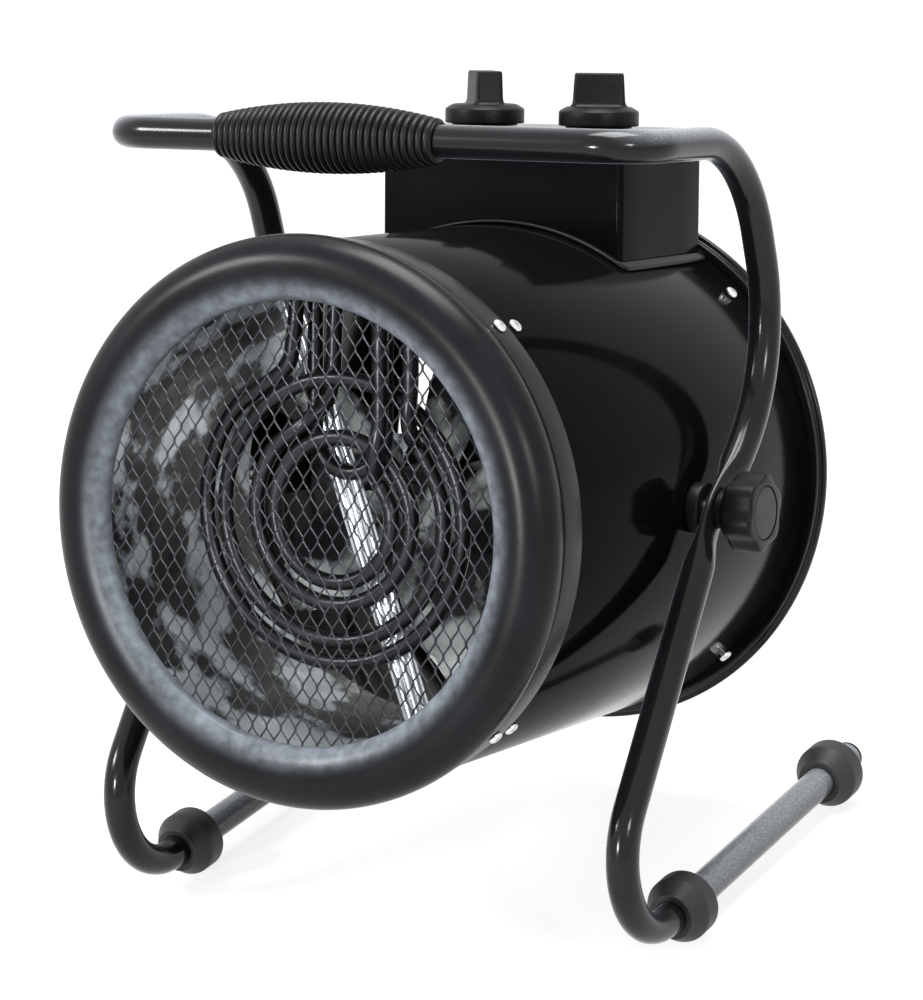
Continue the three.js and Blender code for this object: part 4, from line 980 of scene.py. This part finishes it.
def box_outline(wide, long, r, corner=6, straight=20):
    """A rounded rectangle about the box's middle, with points along its straight sides too."""
    points = []
    for cx, cy, first in ((1, -1, -90), (1, 1, 0), (-1, 1, 90), (-1, -1, 180)):
        for k in range(corner + 1):
            a = math.radians(first + 90 * k / corner)
            points.append((cx * (wide / 2 - r) + r * math.cos(a), cy * (long / 2 - r) + r * math.sin(a)))
        nx, ny = points[-1]
        length = (long if first in (-90, 90) else wide) - 2 * r
        step = {-90: (0, 1), 0: (-1, 0), 90: (0, -1), 180: (1, 0)}[first]
        count = straight if first in (0, 180) else 4
        for k in range(1, count):
            points.append((nx + step[0] * length * k / count, ny + step[1] * length * k / count))
    return points


def stacked(levels, round_about=False):
    """A closed shape from levels of the same number of points."""
    shape = bmesh.new()
    return closed(shape, [[shape.verts.new(p) for p in level] for level in levels], round_about)


def on_curve(points, r):
    """A level bent over the drum at radius r."""
    return [(x, box_y + y, math.sqrt(r * r - x * x)) for x, y in points]


def at_height(points, z):
    """A flat level at height z."""
    return [(x, box_y + y, z) for x, y in points]


box_enamel = finish(
    "box_enamel", (0.004, 0.0041, 0.0047), 0.13, ior=1.11, drift=0.3, cloud=12, grain=700, relief=0.03
)
inner_wall = box_outline(box_wide - 2 * sheet_t, box_long - 2 * sheet_t, 1.5)
box_rings = [
    at_height(inner_wall, box_top - sheet_t),
    on_curve(inner_wall, saddle_out + 0.3),
    on_curve(box_outline(box_wide, box_long, 3), saddle_out + 0.3),
]
for inset, below in ((0, 0.9), (0.07, 0.55), (0.26, 0.26), (0.55, 0.07), (0.9, 0)):
    level = box_outline(box_wide - 2 * inset, box_long - 2 * inset, max(1.2, 3 - inset))
    box_rings.append(at_height(level, box_top - below))
box_shell = stacked(box_rings)
control_box = piece_of("switch_box", box_shell, in_heater, box_enamel, 40)
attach(control_box, "heater")
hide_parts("control_box")

saddle_lip = [
    (-10, on_drum_r), (3.4, on_drum_r), (3.9, 135.7), (4, 136.3), (3.8, 136.9), (3.3, 137.25),
    (-10, saddle_out),
]
saddle_rings = [
    on_curve(box_outline(box_wide + 2 * d, box_long + 2 * d, max(1.5, 3 + d)), r) for d, r in saddle_lip
]
saddle = piece_of("box_base_plate", stacked(saddle_rings, True), in_heater, rim_grey, 50)
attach(saddle, "heater")
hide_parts("box_saddle")

# ---- Switches, spindles and knobs ----
# A selector and a thermostat stand under the box's top. Each spindle carries a moulded
# knob: a round base with a chamfer, and a tall finger grip that widens into it.
knob_plastic = finish(
    "knob_plastic", (0.0055, 0.0057, 0.0066), 0.36, ior=1.24, cloud=50, grain=1600, relief=0.16
)
knob_base, knob_rim, knob_tall = 21.2, 9.0, 29.0


def knob_shape(turn):
    """The round base with a finger grip on it, turned by an angle about the spindle."""
    base = turned_shape(eased([
        (0, 0.2), (17.5, 0.2, 0.3), (17.5, 1.4, 0.3), (knob_base, 1.4, 0.6), (knob_base, knob_rim, 1.0),
        (knob_base - 4.2, knob_rim + 2.5, 1.2), (14, knob_rim + 2.7, 0.5), (0, knob_rim + 2.7),
    ], 0.5), 96)
    upright = Matrix.Rotation(math.pi / 2, 3, "X")
    bmesh.ops.rotate(base, cent=(0, 0, 0), matrix=upright, verts=base.verts)
    levels = []
    for z, wide, thick, r in (
        (knob_rim + 2.0, 31.4, 19.0, 5.0), (knob_rim + 2.6, 30.4, 18.0, 4.6),
        (knob_rim + 3.2, 29.2, 16.6, 3.6), (knob_rim + 4.1, 28.2, 15.5, 2.6),
        (knob_rim + 5.4, 27.6, 14.8, 2.0), (knob_tall - 6, 26.6, 14.2, 1.7),
        (knob_tall - 1.2, 25.9, 13.8, 1.5), (knob_tall - 0.5, 25.6, 13.5, 1.6),
        (knob_tall - 0.12, 25.0, 12.9, 1.7), (knob_tall, 24.2, 12.1, 1.8),
    ):
        outline = box_outline(wide, thick, r, 5, 4)
        levels.append([Matrix.Rotation(turn, 3, "Z") @ Vector((x, y, z)) for x, y in outline])
    whole = bpy.data.meshes.new("grip")
    grip = stacked(levels)
    grip.to_mesh(whole)
    grip.free()
    base.from_mesh(whole)
    return base


switch_top = box_top - 1.8
for name, x, turn in (("selector", -35.26, -49.5), ("thermostat", 33.13, 27)):
    at = in_heater @ Matrix.Translation((x, box_y, box_top + 0.3))
    knob = piece_of(name + "_dial", knob_shape(math.radians(turn)), at, knob_plastic, 40)
    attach(knob, name)
    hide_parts(name + "_knob")
    upright = in_heater @ Matrix.Translation((x, box_y, 0)) @ Matrix.Rotation(math.pi / 2, 4, "X")
    rod_foot, rod_head = switch_top - 12, box_top + 15.3
    rod = turned_shape(eased([(0, rod_foot), (3, rod_foot), (3, rod_head), (0, rod_head)], 0.4), 24)
    spindle = piece_of(name + "_axle", rod, upright, turned_steel)
    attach(spindle, name)
    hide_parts(name + "_spindle")
for name in ("selector_body", "thermostat_body"):
    frame["nodes"][name].data.materials.clear()
    frame["nodes"][name].data.materials.append(black_plastic)

# ---- Cable gland ----
# A black plastic gland in the box's rear wall, with a shoulder, a ribbed cap and an open bore.
gland_section = [
    (4.5, -6, 0.2), (8, -6, 0.5), (8, 1.05, 0), (11.5, 1.05, 0.4), (11.5, 6, 0.8), (10.2, 6.6, 0.3),
    (10.2, 8.4, 0.3), (9.6, 9, 0.3), (9.6, 10.8, 0.3), (9.2, 11.4, 0.3), (8.6, 15, 1.2), (6, 16, 0.6),
    (4.5, 16, 0.6),
]
gland_at = in_heater @ Matrix.Translation((0, box_y + box_long / 2 - 0.75, box_top - 25))
gland = piece_of("gland", turned_shape(eased(gland_section, 0.3), 64), gland_at, black_plastic)
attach(gland, "heater")
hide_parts("cable_gland")

# ---- Tilt pivots ----
# On each side a plastic spacer between drum and tube, a stud through both with a nut inside
# the drum, and a lobed hand knob outside the tube, with a dark grey cap over its middle.
cap_grey = finish(
    "cap_grey", (0.026, 0.028, 0.031), 0.45, ior=1.3, drift=0.15, cloud=70, grain=1500, relief=0.1
)
plate_zinc = finish(
    "zinc_plate", (0.75, 0.76, 0.77), 0.24, metallic=0.9, drift=0.12, cloud=150, grain=2500, relief=0.08
)
stud_hole_r, spacer_r, pressed_half = 4.3, 13, tube_r * 0.45
spacer_end, clamp_start = side_x - pressed_half - 0.3, side_x + pressed_half + 0.3
clamp_face = clamp_start + 24


def lobes(r, depth, count=96):
    """A round outline with six shallow lobes."""
    points = []
    for k in range(count):
        a = 2 * math.pi * k / count
        reach = r - depth + depth * math.cos(6 * a + 2.1)
        points.append((reach * math.cos(a), reach * math.sin(a)))
    return points


for word, way in (("right", 1), ("left", -1)):
    outwards = in_heater @ Matrix.Rotation(math.pi / 2 * -way, 4, "Z")
    collar = turned_shape(eased([
        (stud_hole_r, on_drum_r), (spacer_r, on_drum_r, 0.8), (spacer_r, spacer_end, 0.8),
        (stud_hole_r, spacer_end),
    ], 0.3), 64)
    spacer = piece_of("spacer_" + word, collar, outwards, black_plastic)
    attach(spacer, "heater")
    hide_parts("pivot_spacer_" + word)

    levels = []
    for past_start, r, depth in (
        (0, 9.4, 0), (0.6, 10, 0), (3.2, 10, 0), (4.4, 11.5, 0.1), (6.2, 15.2, 0.5), (7.6, 18.4, 1.0),
        (8.6, 19.6, 1.3), (10, 20, 1.3), (22.4, 20, 1.3), (23.3, 19.7, 1.3), (23.8, 19.0, 1.2),
        (24, 18.2, 1.1), (24, 13.95, 0), (23.8, 13.7, 0), (21.7, 13.7, 0),
    ):
        levels.append([(px, clamp_start + past_start, pz) for px, pz in lobes(r, depth)])
    hand_knob = piece_of("hand_knob_" + word, stacked(levels), outwards, knob_plastic, 35)
    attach(hand_knob, "clamp_" + word)
    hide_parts("clamp_knob_" + word)

    disc = turned_shape(eased([
        (0, clamp_face - 2), (13.4, clamp_face - 2, 0.2), (13.4, clamp_face - 0.5, 0.5),
        (12.4, clamp_face - 0.1, 0.5), (0, clamp_face - 0.05),
    ], 0.3), 72)
    cap = piece_of("cap_disc_" + word, disc, outwards, cap_grey)
    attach(cap, "clamp_" + word)
    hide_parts("clamp_cap_" + word)

    threads = [(0, 123.9), (3.2, 123.9), (4, 124.9)]
    threads += [(4 - 0.35 * (k % 2), 125.3 + k * 0.5) for k in range(24)]
    threads += [(4, 138), (4, clamp_start + 15.4), (3.4, clamp_start + 16), (0, clamp_start + 16)]
    stud = piece_of("stud_" + word, turned_shape(threads, 32), outwards, plate_zinc, 20)
    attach(stud, "clamp_" + word)
    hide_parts("clamp_stud_" + word)

    frame["nodes"]["pivot_nut_" + word].data.materials.clear()
    frame["nodes"]["pivot_nut_" + word].data.materials.append(plate_zinc)

# ---- Screws ----
# Zinc plated pan head screws with a cross recess: four through the front rim's collar, four
# through the drum behind it and four near the rear rim.
ring_of, given, out = node_tree(
    "screw_ring",
    [("Station", "Float"), ("Seat Radius", "Float"), ("First Angle", "Float"), ("Material", "Material")],
)
number = node(ring_of, "GeometryNodeInputIndex").outputs[0]
quarter = calc(ring_of, "MULTIPLY", number, 90)
odd_twice = calc(ring_of, "MULTIPLY", calc(ring_of, "MODULO", number, 2), 2)
swing = calc(ring_of, "SUBTRACT", 1, odd_twice)
angle = calc(ring_of, "ADD", calc(ring_of, "ADD", quarter, given["First Angle"]), swing)
screw_turn = calc(ring_of, "MULTIPLY", calc(ring_of, "RADIANS", angle), -1)
seat = combined(ring_of, given["Seat Radius"], given["Station"])
end_ring(ring_of, given, out, 4, screw_turn, seat)


def screw_shape():
    """Pan head and shank along X, the head's seat at 0, with a cross recess sunk in its top."""
    steps, shape = 32, bmesh.new()
    rings = []
    for x, r, recess in (
        (-7, 1.5, 0), (-6.4, 1.8, 0), (0, 1.8, 0), (0, 3.4, 0), (0.15, 3.6, 0), (0.9, 3.55, 0),
        (1.5, 3.1, 0), (1.9, 2.4, 0), (2.0, 1.9, 0), (2.0, 1.75, 1), (1.2, 1.6, 1),
    ):
        ring = []
        for k in range(steps):
            a = 2 * math.pi * k / steps
            rr = r * (0.33 + 0.67 * abs(math.cos(2 * a)) ** 3) if recess else r
            ring.append(shape.verts.new((x, rr * math.cos(a), rr * math.sin(a))))
        rings.append(ring)
    return closed(shape, rings)


for name, station, seat_r in (
    ("front_collar", -134.0, 136.8), ("front_drum", -116.0, 135), ("rear", 126.0, 135)
):
    sizes = {"Station": station, "Seat Radius": seat_r + 0.3, "First Angle": 45.0,
             "Material": plate_zinc}
    screws = grown("screws_" + name, screw_shape(), ring_of, sizes, in_heater, 40)
    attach(screws, "heater")
    corners = ("top_right", "top_left", "bottom_left", "bottom_right")
    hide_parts(*(f"screw_{name}_{corner}" for corner in corners))

size = {"cad": cad_box, "visual": [list(corner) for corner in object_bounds()]}
